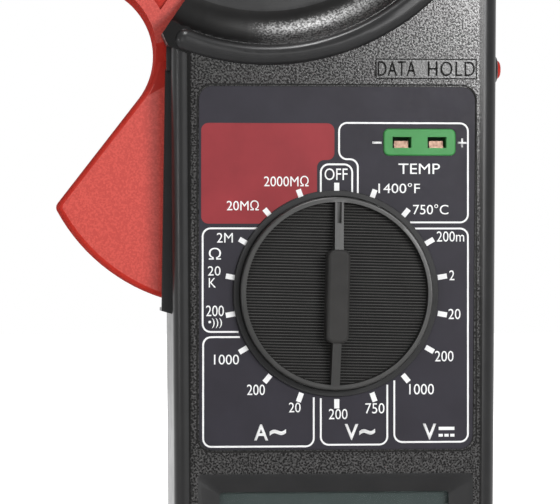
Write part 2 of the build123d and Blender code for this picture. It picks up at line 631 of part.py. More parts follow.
def thermocouple_contacts():
    """Two leaf contacts, each with a leg down to the board."""
    leaves = []
    low, thick = TC_SLOT_Z - TC_SLOT_H / 2, 0.35
    for x in TC_SLOTS_X:
        leaf = box(x - 1.5, x + 1.5, TC_FRONT_Y + 1.2, TC_BACK_Y, low, low + thick)
        bow = box(x - 1.5, x + 1.5, TC_FRONT_Y + 1.6, TC_FRONT_Y + 1.6 + thick, low, TC_SLOT_Z + thick)
        leg = box(x - 0.6, x + 0.6, TC_BACK_Y, BOARD_FRONT_Y, low, TC_SLOT_Z - 0.8)
        leaves.append(leaf + bow + leg)
    return leaves


def jack_insulator(x):
    """Moulded bush of one input jack, with a recess round its sleeve."""
    body = rod(x, JACK_Z, JACK_BARREL_R, PANEL_Y, JACK_BACK_Y)
    flange = rod(x, JACK_Z, JACK_FLANGE_R, JACK_FRONT_Y, PANEL_Y)
    body += fillet(flange.faces().sort_by(Axis.Y)[0].edges(), 0.4)
    body -= rod(x, JACK_Z, JACK_SHROUD_R, JACK_FRONT_Y - 1, JACK_FRONT_Y + 1.6)
    return body - rod(x, JACK_Z, JACK_SLEEVE_R, JACK_FRONT_Y, JACK_BACK_Y + 1)


def jack_sleeve(x):
    """Metal sleeve that takes a 4 mm plug."""
    front = JACK_FRONT_Y + 1.6
    sleeve = rod(x, JACK_Z, JACK_SLEEVE_R, front, JACK_BACK_Y + 1.2)
    return sleeve - rod(x, JACK_Z, JACK_BORE_R, front - 1, front + JACK_BORE_LEN)


# ---------------------------------------------------------------- board

def main_board():
    """Circuit board with its tab for the hold switch."""
    face = rect(*BOARD, corner=2.0) + rect(*BOARD_TAB, corner=1.0)
    for x, z in CASE_SCREWS:
        face -= disc(x, z, BOSS_R + 0.4)
        side = math.copysign(1, x)
        face -= rect(min(x, x + 8 * side), max(x, x + 8 * side), z - BOSS_R - 0.4, z + BOSS_R + 0.4)
    for x, z in BOARD_SCREWS:
        face -= disc(x, z, 1.2)
    for x in JACK_X:
        face -= disc(x, JACK_Z, JACK_BARREL_R + 0.15)
    return slab(face, BOARD_FRONT_Y, BOARD_BACK_Y)


def meter_chip():
    """Converter chip on the rear of the board."""
    body = box(-7, 7, BOARD_BACK_Y, BOARD_BACK_Y + 2.0, 60, 74)
    return chamfer(body.faces().sort_by(Axis.Y)[-1].edges(), 0.5)


def trimmers():
    """Three calibration trimmers."""
    parts = []
    for z in (92.0, 100.0, 108.0):
        body = box(13, 19, BOARD_BACK_Y, BOARD_BACK_Y + 3.6, z - 3, z + 3)
        body += rod(16, z, 1.8, BOARD_BACK_Y + 3.6, BOARD_BACK_Y + 4.3)
        parts.append(body - box(14.4, 17.6, BOARD_BACK_Y + 3.8, BOARD_BACK_Y + 5, z - 0.3, z + 0.3))
    return parts


def capacitors():
    """Two film capacitors and one electrolytic can."""
    films = [box(x, x + 9, BOARD_BACK_Y, BOARD_BACK_Y + 5, 78, 81.4) for x in (10.0, 21.0)]
    parts = [fillet(film.edges(), 0.6) for film in films]
    can = rod(26, 90, 3.2, BOARD_BACK_Y, BOARD_BACK_Y + 8)
    parts.append(fillet(can.faces().sort_by(Axis.Y)[-1].edges(), 0.5))
    return parts


def varistor():
    """Disc varistor near the input jacks."""
    return fillet(box(10.5, 18.5, BOARD_BACK_Y, BOARD_BACK_Y + 8, 6.2, 6.9).edges(), 0.2)


def resistors():
    """Row of range resistors on the rear of the board."""
    parts = []
    for i in range(5):
        z = 58 + 4.2 * i
        parts.append(Pos(-17, BOARD_BACK_Y + 1.1, z) * Rot(0, 90, 0) * Cylinder(1.1, 6.5))
    return parts


def buzzer():
    """Round sounder on the rear of the board."""
    can = rod(20, 66.5, 6.5, BOARD_BACK_Y, BOARD_BACK_Y + 4.0)
    can = fillet(can.faces().sort_by(Axis.Y)[-1].edges(), 0.5)
    return can - rod(20, 66.5, 1.0, BOARD_BACK_Y + 2, BOARD_BACK_Y + 5)


def hold_switch():
    """Push switch on the board's tab, behind the hold button."""
    body = box(22.4, 28.9, BOARD_BACK_Y, 0.2, HOLD_Z - 3.4, HOLD_Z + 3.4)
    return body + side_rod(1.0, 28.9, 29.7)


# ---------------------------------------------------------------- hold button

def hold_button():
    """Domed red button with a flange inside the wall."""
    stem = side_rod(HOLD_R, HOLD_IN_X + 0.5, HOLD_OUT_X)
    stem = fillet(stem.faces().sort_by(Axis.X)[-1].edges(), 1.3)
    return stem + side_rod(2.9, HOLD_IN_X, HOLD_IN_X + 0.9)


def hold_spring():
    """Small spring between switch and button."""
    return Pos(29.1, HOLD_Y, HOLD_Z) * Rot(0, 90, 0) * spring(1.6, 0.15, 1.7, 3)


# ---------------------------------------------------------------- knob

def turned(solid):
    """A knob piece at the angle at which the knob rests."""
    return solid.rotate(Axis((KNOB_X, 0, KNOB_Z), (0, -1, 0)), KNOB_TURN)


def range_knob():
    """Dished knob with a rim, a bar grip, a pointer slot and a hub."""
    knob = rod(KNOB_X, KNOB_Z, KNOB_R, KNOB_RIM_Y, KNOB_BACK_Y)
    knob = fillet(knob.faces().sort_by(Axis.Y)[0].edges(), 0.45)
    knob -= rod(KNOB_X, KNOB_Z, KNOB_RIM_R, KNOB_RIM_Y - 1, KNOB_FLOOR_Y)
    foot, crest = KNOB_FLOOR_Y + 0.5, GRIP_TOP_Y + 0.6
    grip_low, grip_high = KNOB_Z - GRIP_LOW - GRIP_LEN / 2, KNOB_Z - GRIP_LOW + GRIP_LEN / 2
    side = Plane.YZ * polygon(
        (foot, KNOB_Z - KNOB_RIM_R), (KNOB_RIM_Y, KNOB_Z - KNOB_RIM_R), (crest, grip_low),
        (crest, grip_high), (KNOB_RIM_Y, KNOB_Z + KNOB_RIM_R), (foot, KNOB_Z + KNOB_RIM_R))
    knob += Pos(-ARM_W / 2, 0, 0) * extrude(side, amount=ARM_W)
    grip = rect(KNOB_X - GRIP_W / 2, KNOB_X + GRIP_W / 2, grip_low, grip_high, corner=1.6)
    block = slab(grip, GRIP_TOP_Y, KNOB_FLOOR_Y + 0.5)
    knob += fillet(block.faces().sort_by(Axis.Y)[0].edges(), 0.8)
    knob -= box(KNOB_X - POINTER_W / 2, KNOB_X + POINTER_W / 2, GRIP_TOP_Y - 1, KNOB_FLOOR_Y - 1.2,
                KNOB_Z + POINTER_FROM, KNOB_Z + KNOB_RIM_R)
    knob += rod(KNOB_X, KNOB_Z, HUB_SHAFT_R, KNOB_BACK_Y - 0.2, ROTOR_FRONT_Y)
    knob += rod(KNOB_X, KNOB_Z, 3.0, ROTOR_FRONT_Y, ROTOR_BACK_Y)
    knob -= rod(KNOB_X, KNOB_Z, 1.0, -15.0, ROTOR_BACK_Y)
    return turned(knob)


def knob_rotor():
    """Contact carrier behind the panel, keyed on the knob's hub."""
    rotor = rod(KNOB_X, KNOB_Z, ROTOR_R, ROTOR_FRONT_Y, ROTOR_BACK_Y)
    rotor -= rod(KNOB_X, KNOB_Z, 3.0, ROTOR_FRONT_Y - 1, ROTOR_BACK_Y + 1)
    for side in (-1, 1):
        x = side * (ROTOR_R - 1)
        rotor -= box(min(x - 3.5 * side, x + 3 * side), max(x - 3.5 * side, x + 3 * side),
                     ROTOR_FRONT_Y - 1, ROTOR_BACK_Y + 1, KNOB_Z - 1.25, KNOB_Z + 1.25)
    return turned(rotor)


def detent_balls():
    """Two steel balls at the rotor's edge."""
    y = (ROTOR_FRONT_Y + ROTOR_BACK_Y) / 2
    out = DETENT_RING_IN - BALL_R - 0.1
    return [turned(Pos(side * out, y, KNOB_Z) * Sphere(BALL_R)) for side in (-1, 1)]


def detent_springs():
    """Two springs that press the balls outwards."""
    y = (ROTOR_FRONT_Y + ROTOR_BACK_Y) / 2
    parts = []
    for side in (-1, 1):
        start = side * (ROTOR_R - 4.5 + 0.15)
        coil = Rot(0, 90 * side, 0) * spring(0.75, 0.14, 3.5, 6)
        parts.append(turned(Pos(start, y, KNOB_Z) * coil))
    return parts


def wiper_contacts():
    """Three sprung bridges that slide on the board's tracks."""
    parts = []
    for r, z in ((13.0, 0.0), (9.5, 0.0), (6.0, 0.0)):
        arm = box(-2.4, 2.4, ROTOR_BACK_Y, ROTOR_BACK_Y + 0.3, KNOB_Z - r - 0.7, KNOB_Z - r + 0.7)
        for side in (-1, 1):
            arm += box(side * 2.1 - 0.3, side * 2.1 + 0.3, ROTOR_BACK_Y, BOARD_FRONT_Y - 0.06,
                       KNOB_Z - r - 0.7, KNOB_Z - r + 0.7)
        parts.append(turned(arm))
    return parts


def knob_screw():
    """Screw with a wide head that clamps the rotor on the knob."""
    return turned(screw(KNOB_X, KNOB_Z, -14.6, ROTOR_BACK_Y, ROTOR_BACK_Y + 1.2, 1.0, 3.6))


# ---------------------------------------------------------------- jaws

def outer_edges(solid, jaw_y, lever_y, wanted):
    """Long edges of a red half: "inner" and "outer" follow the ring, "lever" follows the lever."""
    picked = []
    for edge in solid.edges():
        mid = edge @ 0.5
        flat = abs((edge @ 0).Y - (edge @ 1).Y) < 0.01
        radius = math.hypot(mid.X - RING_X, mid.Z - RING_Z)
        at_jaw = abs(mid.Y - jaw_y) < 0.01
        found = {"inner": at_jaw and abs(radius - RING_IN_R) < 0.3,
                 "outer": at_jaw and abs(radius - RING_OUT_R) < 0.3,
                 "lever": abs(mid.Y - lever_y) < 0.01 and mid.X < -38 and mid.Z < 131}
        if flat and any(found[name] for name in wanted):
            picked.append(edge)
    return picked


def red_half(front, rear):
    """One half of the moving jaw and lever between two depths, with its hollow."""
    face = lever_outline()
    solid = slab(face, max(front, LEVER_FRONT_Y), rear)
    if front < 0:
        neck = polygon((LEVER_FRONT_Y, NECK_LOW_Z), (front, NECK_HIGH_Z), (front, 260),
                       (0, 260), (0, NECK_LOW_Z))
        solid += slab(face, front, 0) & (Pos(-90, 0, 0) * extrude(Plane.YZ * neck, amount=150))
    if front < 0:
        solid = fillet(outer_edges(solid, front, LEVER_FRONT_Y, ("inner", "outer", "lever")), RED_EDGE_R)
    else:
        solid = fillet(outer_edges(solid, rear, rear, ("inner",)), RED_EDGE_R)
        solid = fillet(outer_edges(solid, rear, rear, ("lever",)), RED_EDGE_R)
    hollow_face = offset(face & rect(-80, 10, 60, 136), -RED_WALL, kind=Kind.INTERSECTION)
    boss_x, boss_z = JAW_SCREWS[0]
    hollow_face -= disc(boss_x, boss_z, 3.2)
    lever_in = LEVER_FRONT_Y + RED_WALL if front < 0 else 0
    solid -= slab(hollow_face, lever_in, rear - RED_WALL if rear > 0 else 0)
    core = sector(CORE_IN_R, CORE_OUT_R, 90, 262) & beside_border(-0.3, -1)
    solid -= slab(core, max(front, -CORE_HALF), min(rear, CORE_HALF))
    above = polygon((-80, NECK_HIGH_Z), (-36.2, NECK_HIGH_Z), (-20, 143), (40, 150), (40, 260), (-80, 260))
    rim = offset(face & above & beside_border(0, -1), -JAW_RIM, kind=Kind.INTERSECTION)
    solid -= slab(rim, front - 1, front + JAW_SUNK) if front < 0 else slab(rim, rear - JAW_SUNK, rear + 1)
    for x, z in JAW_SCREWS:
        solid -= rod(x, z, SCREW_PILOT_R, JAW_SCREW_TIP_Y, 0)
        solid -= rod(x, z, SCREW_PILOT_R + 0.2, 0, JAW_SCREW_SEAT_Y)
        solid -= rod(x, z, JAW_SCREW_HEAD_R + 0.2, JAW_SCREW_SEAT_Y, RED_HALF + 1)
    return solid - rod(PIVOT_X, PIVOT_Z, PIN_R + PIN_CLEAR, -12, 12)


def moving_core():
    """Laminated core half in the moving jaw."""
    face = sector(CORE_IN_R, CORE_OUT_R, 90 + TIP_GAP, 262) & beside_border(-0.3, -1)
    return slab(face, -CORE_HALF, CORE_HALF)


def fixed_core():
    """Laminated core half in the fixed jaw."""
    low = rect(-90, 60, 60, RING_Z)
    face = sector(CORE_IN_R, CORE_OUT_R, -115, 90 - TIP_GAP) - (beside_border(3.2, -1) & low)
    return slab(face, -CORE_HALF, CORE_HALF)


def coil_bobbin():
    """Bobbin round the fixed core with a flange at each end."""
    tube = sector(CORE_IN_R - 1, CORE_OUT_R + 1, -34, 50)
    body = slab(tube, -CORE_HALF - 1, CORE_HALF + 1)
    for start, end in ((-34, -32), (48, 50)):
        flange = sector(RING_IN_R + JAW_WALL, RING_OUT_R - JAW_WALL, start, end)
        body += slab(flange, JAW_WALL - JAW_HALF, JAW_HALF - JAW_WALL)
    return body - slab(sector(CORE_IN_R, CORE_OUT_R, -40, 60), -CORE_HALF, CORE_HALF)


def coil_winding():
    """Wound copper on the bobbin."""
    outside = slab(sector(CORE_IN_R - 2, CORE_OUT_R + 2, -31.9, 47.9), -CORE_HALF - 1.6, CORE_HALF + 1.6)
    return outside - slab(sector(CORE_IN_R - 1, CORE_OUT_R + 1, -40, 60), -CORE_HALF - 1, CORE_HALF + 1)


def bent_lead(x, y, z_start, z_end):
    """Wire that runs up or down at one depth and bends in to the board."""
    turn_z = z_end + math.copysign(3.0, z_start - z_end)
    points = [(x, y, z_start), (x, y, turn_z), (x, y - 3.1, z_end), (x, BOARD_BACK_Y, z_end)]
    path = FilletPolyline(*points, radius=[1.8, 1.2])
    return sweep(Plane(origin=path @ 0, z_dir=path % 0) * Circle(LEAD_R), path=path)


def coil_leads():
    """Two wires from the bobbin's lower flange to the board."""
    x, z = ring_point(-34, CORE_OUT_R + 1.5)
    ends = ((0.0, 130.5), (1.4, 133.5))
    return [bent_lead(x + dx, 0.0, z - 0.5 - dx * 0.7, z_end) for dx, z_end in ends]


def pivot_pin():
    """Steel pin held in both case halves."""
    return rod(PIVOT_X, PIVOT_Z, PIN_R, -10.6, 10.6)


def jaw_screws():
    """Two screws that join the red halves, from the rear."""
    seat = JAW_SCREW_SEAT_Y
    return [screw(x, z, JAW_SCREW_TIP_Y, seat, seat + 1.6, 1.0, JAW_SCREW_HEAD_R) for x, z in JAW_SCREWS]


def lever_spring():
    """Compression spring that pushes the lever outwards."""
    start = -26.0
    coil = spring(SPRING_R, SPRING_WIRE_R, SPRING_SEAT_X - start - 2 * SPRING_WIRE_R - 0.4, SPRING_TURNS)
    return Pos(start, SPRING_Y, SPRING_Z) * Rot(0, 90, 0) * coil


# ---------------------------------------------------------------- battery

def battery():
    """Nine volt block battery with its two studs."""
    x1 = BAY[1] - 0.3
    x0 = x1 - BATTERY_LEN + 2
    z0 = (BAY[2] + BAY[3] - BATTERY_W) / 2
    y0 = BAY_FLOOR_Y + 0.1
    block = box(x0, x1, y0, y0 + BATTERY_THICK, z0, z0 + BATTERY_W)
    block = fillet(block.edges().filter_by(Axis.X), 1.5)
    for z, r in ((z0 + 6.8, 2.8), (z0 + BATTERY_W - 6.8, 3.6)):
        block += Pos(x0 - 0.9, y0 + BATTERY_THICK / 2, z) * Rot(0, 90, 0) * Cylinder(r, 2.2)
    return block


def battery_snap():
    """Snap cap on the battery's studs."""
    x1 = BAY[1] - 0.3 - BATTERY_LEN + 2 - 2.0
    y = BAY_FLOOR_Y + 0.1 + BATTERY_THICK / 2
    z = (BAY[2] + BAY[3]) / 2
    cap = box(x1 - 3.4, x1, y - 7, y + 7, z - 12.5, z + 12.5)
    return fillet(cap.edges().filter_by(Axis.X), 2.0)


def battery_leads():
    """Two thin leads from the snap to the board."""
    x = BAY[1] - 0.3 - BATTERY_LEN + 2 - 3.7
    z_top = (BAY[2] + BAY[3]) / 2 + 12.5
    return [bent_lead(x + dx, -0.3, z_top, z_end) for dx, z_end in ((-0.9, 58.0), (0.9, 62.0))]


# ---------------------------------------------------------------- files

def nodes():
    """Every named piece of the meter."""
    front_handle, front_jaw = handle_and_jaw(front_case())
    rear_handle, rear_jaw = handle_and_jaw(rear_case())
    pieces = {
        "front_case": front_handle, "rear_case": rear_handle,
        "fixed_jaw_front": front_jaw, "fixed_jaw_rear": rear_jaw,
        "battery_door": battery_door(), "battery_door_screw": battery_door_screw(),
        "case_screws": case_screws(), "panel_label": panel_label(),
        "lcd_window": lcd_window(), "lcd_cell": lcd_cell(), "lcd_frame": lcd_frame(),
        "zebra_strips": zebra_strips(), "main_board": main_board(), "board_screws": board_screws(),
        "meter_chip": meter_chip(), "trimmers": trimmers(), "capacitors": capacitors(),
        "varistor": varistor(), "resistors": resistors(), "buzzer": buzzer(),
        "hold_switch": hold_switch(), "hold_button": hold_button(), "hold_spring": hold_spring(),
        "thermocouple_socket": thermocouple_socket(), "thermocouple_contacts": thermocouple_contacts(),
        "range_knob": range_knob(), "knob_rotor": knob_rotor(), "knob_screw": knob_screw(),
        "wiper_contacts": wiper_contacts(), "detent_balls": detent_balls(),
        "detent_springs": detent_springs(),
        "moving_jaw_front": red_half(-RED_HALF, 0), "moving_jaw_rear": red_half(0, RED_HALF),
        "moving_core": moving_core(), "jaw_screws": jaw_screws(), "pivot_pin": pivot_pin(),
        "lever_spring": lever_spring(), "fixed_core": fixed_core(),
        "coil_bobbin": coil_bobbin(), "coil_winding": coil_winding(), "coil_leads": coil_leads(),
        "battery": battery(), "battery_snap": battery_snap(), "battery_leads": battery_leads(),
    }
    for name, x in zip(("ext", "com", "volt"), JACK_X):
        pieces[f"{name}_jack_insulator"] = jack_insulator(x)
        pieces[f"{name}_jack_sleeve"] = jack_sleeve(x)
    return pieces


def main():
    """Write one file per node."""
    os.makedirs("parts", exist_ok=True)
    for name, piece in nodes().items():
        solids = piece if isinstance(piece, list) else [piece]
        solids = [s for p in solids for s in p.solids()]
        export_step(Compound(children=solids) if len(solids) > 1 else solids[0], f"parts/{name}.step")
        print(name, len(solids), round(sum(s.volume for s in solids), 1))


main()
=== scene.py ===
"""Looks of a handheld clamp meter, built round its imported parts.

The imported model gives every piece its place. The script dresses those pieces, adds the
printing, the ridges and the other small forms, and sets up a plain studio.
"""

import logging
import math
from dataclasses import dataclass
from enum import Enum
from typing import Callable, Optional, Sequence

import bmesh
import bpy
from mathutils import Matrix, Vector

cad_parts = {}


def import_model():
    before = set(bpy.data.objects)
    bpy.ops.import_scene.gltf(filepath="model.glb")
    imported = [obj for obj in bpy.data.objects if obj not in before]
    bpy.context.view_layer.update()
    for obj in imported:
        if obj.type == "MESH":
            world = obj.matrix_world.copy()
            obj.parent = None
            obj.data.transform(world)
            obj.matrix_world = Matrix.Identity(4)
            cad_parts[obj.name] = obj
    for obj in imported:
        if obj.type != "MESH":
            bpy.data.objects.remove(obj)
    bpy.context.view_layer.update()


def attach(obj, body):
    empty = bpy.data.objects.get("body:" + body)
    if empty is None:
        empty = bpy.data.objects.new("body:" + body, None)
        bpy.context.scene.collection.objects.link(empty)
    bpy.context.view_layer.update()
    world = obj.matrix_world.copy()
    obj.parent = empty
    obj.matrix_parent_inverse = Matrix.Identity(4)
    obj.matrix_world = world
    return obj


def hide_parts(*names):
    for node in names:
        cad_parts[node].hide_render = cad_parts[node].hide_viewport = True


LOG = logging.getLogger("clamp_meter")
MM = 0.001
SQUARE = 0.995  # a face is square to Y where its normal's Y part is beyond this
ON_PLANE = 0.05  # millimetres that a face may lie off its plane
SAME = 0.01  # millimetres between places that count as one
MERGE = 0.000002  # metres between points that are merged
CUT_FRONT, CUT_REAR = -20.0, -10.0  # millimetres in Y that a cutting piece spans on the panel
ROUND = 128  # sides of a large round cutting piece
FINE_STEPS = 2  # steps of a small rounding

Colour = tuple[float, float, float]
Place = tuple[float, float, float]
Point = tuple[float, float]
Span = tuple[float, float]
Box = tuple[float, float, float, float]  # left, right, low and high
Socket = bpy.types.NodeSocket
Test = Callable[[Vector, Vector], bool]  # of a face's middle and normal, or of an edge's two ends


class Body(Enum):
    """Moving bodies of the meter."""

    CASE = "case"
    JAW = "jaw"
    KNOB = "knob"
    BUTTON = "button"


class Slot(Enum):
    """Slots of the record that a dressed piece takes its finish from."""

    CASE = "black_case"
    RED = "red_plastic"
    LABEL = "label_film"
    KNOB = "knob_black"
    SOCKET = "green_plastic"
    WINDOW = "clear_window"
    STEEL = "steel"
    BRASS = "brass"


# ------------------------------------------------------------------ finishes


@dataclass(frozen=True)
class Nodes:
    """The node tree of a material or a world, with short ways to add nodes."""

    owner: bpy.types.ID

    @classmethod
    def start(cls, owner: bpy.types.ID) -> "Nodes":
        """Empties the tree of a new material or world.

        Args:
            owner: The material or the world.

        Returns:
            The helper that holds it.
        """
        owner.use_nodes = True
        owner.node_tree.nodes.clear()
        return cls(owner)

    def add(self, kind: str, **settings: object) -> bpy.types.Node:
        """Adds one node.

        Args:
            kind: Blender's type name of the node.
            **settings: Attributes of the node, or of its inputs by name with spaces as underscores.

        Returns:
            The node.
        """
        node = self.owner.node_tree.nodes.new(kind)
        for key, value in settings.items():
            if hasattr(node, key):
                setattr(node, key, value)
            else:
                node.inputs[key.replace("_", " ")].default_value = value
        return node

    def link(self, start: Socket, end: Socket) -> None:
        """Joins two sockets."""
        self.owner.node_tree.links.new(start, end)

    def place(self) -> Socket:
        """Returns the Object coordinates' socket."""
        return self.add("ShaderNodeTexCoord").outputs["Object"]

    def noise(self, size: float, detail: float = 2.0) -> Socket:
        """Noise over the piece.

        Args:
            size: Size of one feature in metres.
            detail: Octaves of finer noise.

        Returns:
            The factor's socket.
        """
        node = self.add("ShaderNodeTexNoise", Scale=1 / size, Detail=detail)
        self.link(self.place(), node.inputs["Vector"])
        return node.outputs["Fac"]

    def ramp(self, value: Socket, low: Colour, high: Colour, start: float, end: float) -> Socket:
        """Colour that changes with a value.

        Args:
            value: Socket that drives it.
            low: Colour at and below start.
            high: Colour at and above end.
            start: Value of the low colour.
            end: Value of the high colour.

        Returns:
            The colour's socket.
        """
        node = self.add("ShaderNodeValToRGB")
        for stop, place, colour in zip(node.color_ramp.elements, (start, end), (low, high)):
            stop.position = place
            stop.color = (*colour, 1.0)
        self.link(value, node.inputs["Fac"])
        return node.outputs["Color"]

    def spread(self, value: Socket, low: float, high: float, start: float = 0.3, end: float = 0.7) -> Socket:
        """Maps a value from one range to another.

        Args:
            value: Socket of the value.
            low: Result at and below start.
            high: Result at and above end.
            start: Value that gives low.
            end: Value that gives high.

        Returns:
            The result's socket.
        """
        node = self.add("ShaderNodeMapRange", From_Min=start, From_Max=end, To_Min=low, To_Max=high)
        self.link(value, node.inputs["Value"])
        return node.outputs["Result"]

    def combine(self, operation: str, first: Socket, second: Socket) -> Socket:
        """Works out one value from two.

        Args:
            operation: Blender's name of the operation.
            first: Socket of the first value.
            second: Socket of the second value.

        Returns:
            The result's socket.
        """
        node = self.add("ShaderNodeMath", operation=operation)
        self.link(first, node.inputs[0])
        self.link(second, node.inputs[1])
        return node.outputs[0]

    def bump(self, height: Socket, strength: float, depth: float, base: Optional[Socket] = None) -> Socket:
        """Bump from a height.

        Args:
            height: Socket of the height.
            strength: Strength of the bump.
            depth: Depth in metres.
            base: Normal that it is added to.

        Returns:
            The normal's socket.
        """
        node = self.add("ShaderNodeBump", Strength=strength, Distance=depth)
        self.link(height, node.inputs["Height"])
        if base is not None:
            self.link(base, node.inputs["Normal"])
        return node.outputs["Normal"]

    def seen(self, hidden: float, shown: float) -> Socket:
        """Value for what the camera, gloss and clear pieces see, and another for what lights the object.

        Args:
            hidden: Value for diffuse light.
            shown: Value for camera, glossy and transmission rays.

        Returns:
            The value's socket.
        """
        rays = self.add("ShaderNodeLightPath").outputs
        direct = self.combine("MAXIMUM", rays["Is Camera Ray"], rays["Is Glossy Ray"])
        direct = self.combine("MAXIMUM", direct, rays["Is Transmission Ray"])
        return self.spread(direct, hidden, shown, 0.0, 1.0)

    def close(self, shader: bpy.types.Node, **sockets: Socket) -> bpy.types.Material:
        """Joins the pattern to the shader and the shader to the output.

        Args:
            shader: Principled shader.
            **sockets: What varies, by the name of the shader's input with spaces as underscores.

        Returns:
            The finished material.
        """
        for key, socket in sockets.items():
            self.link(socket, shader.inputs[key.replace("_", " ")])
        self.link(shader.outputs["BSDF"], self.add("ShaderNodeOutputMaterial").inputs["Surface"])
        return self.owner


@dataclass(frozen=True)
class SandedPlastic:
    """Moulded plastic with the fine sand texture of a blasted mould, smooth beyond its margin.

    Its pits are dark and reflect little: they count in part as metal of their own near-black colour.
    Sizes are in metres.
    """

    name: str
    colour: Colour
    light: Colour
    grain: float = 0.00042
    grain_detail: float = 2.5
    depth: float = 0.00002
    strength: float = 1.0
    fine_share: float = 0.5
    fine_detail: float = 1.0
    fine_depth_share: float = 0.4
    shade_span: Span = (0.43, 0.62)
    roughness: float = 0.24
    uneven: float = 0.03
    patch: float = 0.012
    gloss: float = 0.42
    pits: float = 0.75
    pit_span: Span = (0.42, 0.6)
    margin: float = 1.0
    margin_fade: float = 0.0006

    def material(self) -> bpy.types.Material:
        """Builds the material.

        Returns:
            The finished material.
        """
        n = Nodes.start(bpy.data.materials.new(self.name))
        shader = n.add("ShaderNodeBsdfPrincipled", Specular_IOR_Level=self.gloss)
        inside = self.inside(n)
        grain = n.combine("MULTIPLY", n.noise(self.grain, self.grain_detail), inside)
        fine = n.combine("MULTIPLY", n.noise(self.grain * self.fine_share, self.fine_detail), inside)
        colour = n.ramp(grain, self.colour, self.light, *self.shade_span)
        rough = n.spread(n.noise(self.patch), self.roughness - self.uneven, self.roughness + self.uneven)
        if self.pits > 0:
            n.link(n.spread(grain, self.pits, 0.0, *self.pit_span), shader.inputs["Metallic"])
        coarse = n.bump(grain, self.strength, self.depth)
        normal = n.bump(fine, self.strength * self.fine_share, self.depth * self.fine_depth_share, coarse)
        return n.close(shader, Base_Color=colour, Roughness=rough, Normal=normal)

    def inside(self, n: Nodes) -> Socket:
        """Value that is one within the margin and fades to nothing beyond it.

        Args:
            n: Helper of the material.

        Returns:
            The value's socket.
        """
        split = n.add("ShaderNodeSeparateXYZ")
        n.link(n.place(), split.inputs["Vector"])
        away = n.add("ShaderNodeMath", operation="ABSOLUTE")
        n.link(split.outputs["X"], away.inputs[0])
        near, far = self.margin - self.margin_fade, self.margin + self.margin_fade
        return n.spread(away.outputs[0], 1.0, 0.0, near, far)


@dataclass(frozen=True)
class RingSandedPlastic(SandedPlastic):
    """Sanded plastic round the jaw's ring, smooth towards the ring's middle."""

    ring: Place = (-0.0148, 0.0, 0.1868)
    smooth_r: float = 0.0375
    sanded_r: float = 0.0405
    smooth_x: float = -0.026
    sanded_x: float = -0.014

    def inside(self, n: Nodes) -> Socket:
        """Value that grows from nothing to one away from the ring's middle.

        Args:
            n: Helper of the material.

        Returns:
            The value's socket.
        """
        flat = n.add("ShaderNodeVectorMath", operation="MULTIPLY")
        flat.inputs[1].default_value = (1.0, 0.0, 1.0)
        n.link(n.place(), flat.inputs[0])
        away = n.add("ShaderNodeVectorMath", operation="DISTANCE")
        away.inputs[1].default_value = self.ring
        n.link(flat.outputs["Vector"], away.inputs[0])
        split = n.add("ShaderNodeSeparateXYZ")
        n.link(flat.outputs["Vector"], split.inputs["Vector"])
        along = n.spread(split.outputs["X"], 0.0, 1.0, self.smooth_x, self.sanded_x)
        around = n.spread(away.outputs["Value"], 0.0, 1.0, self.smooth_r, self.sanded_r)
        return n.combine("MULTIPLY", around, along)


@dataclass(frozen=True)
class EvenFinish:
    """Even finish: its colour and roughness change over patches, and its height over waves.

    Sizes are in metres.
    """

    name: str
    colour: Colour
    light: Colour
    roughness: float = 0.3
    gloss: float = 0.5
    metallic: float = 0.0
    patch: float = 0.006
    patch_detail: float = 3.0
    shade_span: Span = (0.35, 0.75)
    sheen: float = 0.004
    sharper: float = 0.02
    duller: float = 0.03
    wave: float = 0.006
    wave_detail: float = 1.0
    wave_depth: float = 0.00003
    wave_strength: float = 0.1

    def material(self) -> bpy.types.Material:
        """Builds the material.

        Returns:
            The finished material.
        """
        n = Nodes.start(bpy.data.materials.new(self.name))
        shader = n.add("ShaderNodeBsdfPrincipled", Metallic=self.metallic, Specular_IOR_Level=self.gloss)
        colour = n.ramp(n.noise(self.patch, self.patch_detail), self.colour, self.light, *self.shade_span)
        rough = n.spread(n.noise(self.sheen), self.roughness - self.sharper, self.roughness + self.duller)
        normal = n.bump(n.noise(self.wave, self.wave_detail), self.wave_strength, self.wave_depth)
        return n.close(shader, Base_Color=colour, Roughness=rough, Normal=normal)


@dataclass(frozen=True)
class SmoothPlastic(EvenFinish):
    """Moulded plastic with a satin face and slight waviness."""

    roughness: float = 0.28
    gloss: float = 0.4
    wave_depth: float = 0.0002
    wave_strength: float = 0.04


@dataclass(frozen=True)
class PrintedFilm(EvenFinish):
    """Printed polycarbonate film: dense ink, faint mottling."""

    roughness: float = 0.42
    gloss: float = 0.3
    patch: float = 0.008
    patch_detail: float = 4.0
    shade_span: Span = (0.35, 0.7)
    sheen: float = 0.0009
    sharper: float = 0.05
    duller: float = 0.06
    wave: float = 0.0005
    wave_strength: float = 0.15


@dataclass(frozen=True)
class Metal(EvenFinish):
    """Plated or bare metal with a fine, uneven lustre."""

    roughness: float = 0.25
    metallic: float = 1.0
    patch: float = 0.0012
    shade_span: Span = (0.3, 0.7)
    sheen: float = 0.0004
    sharper: float = 0.08
    duller: float = 0.12
    wave: float = 0.0003
    wave_detail: float = 2.0


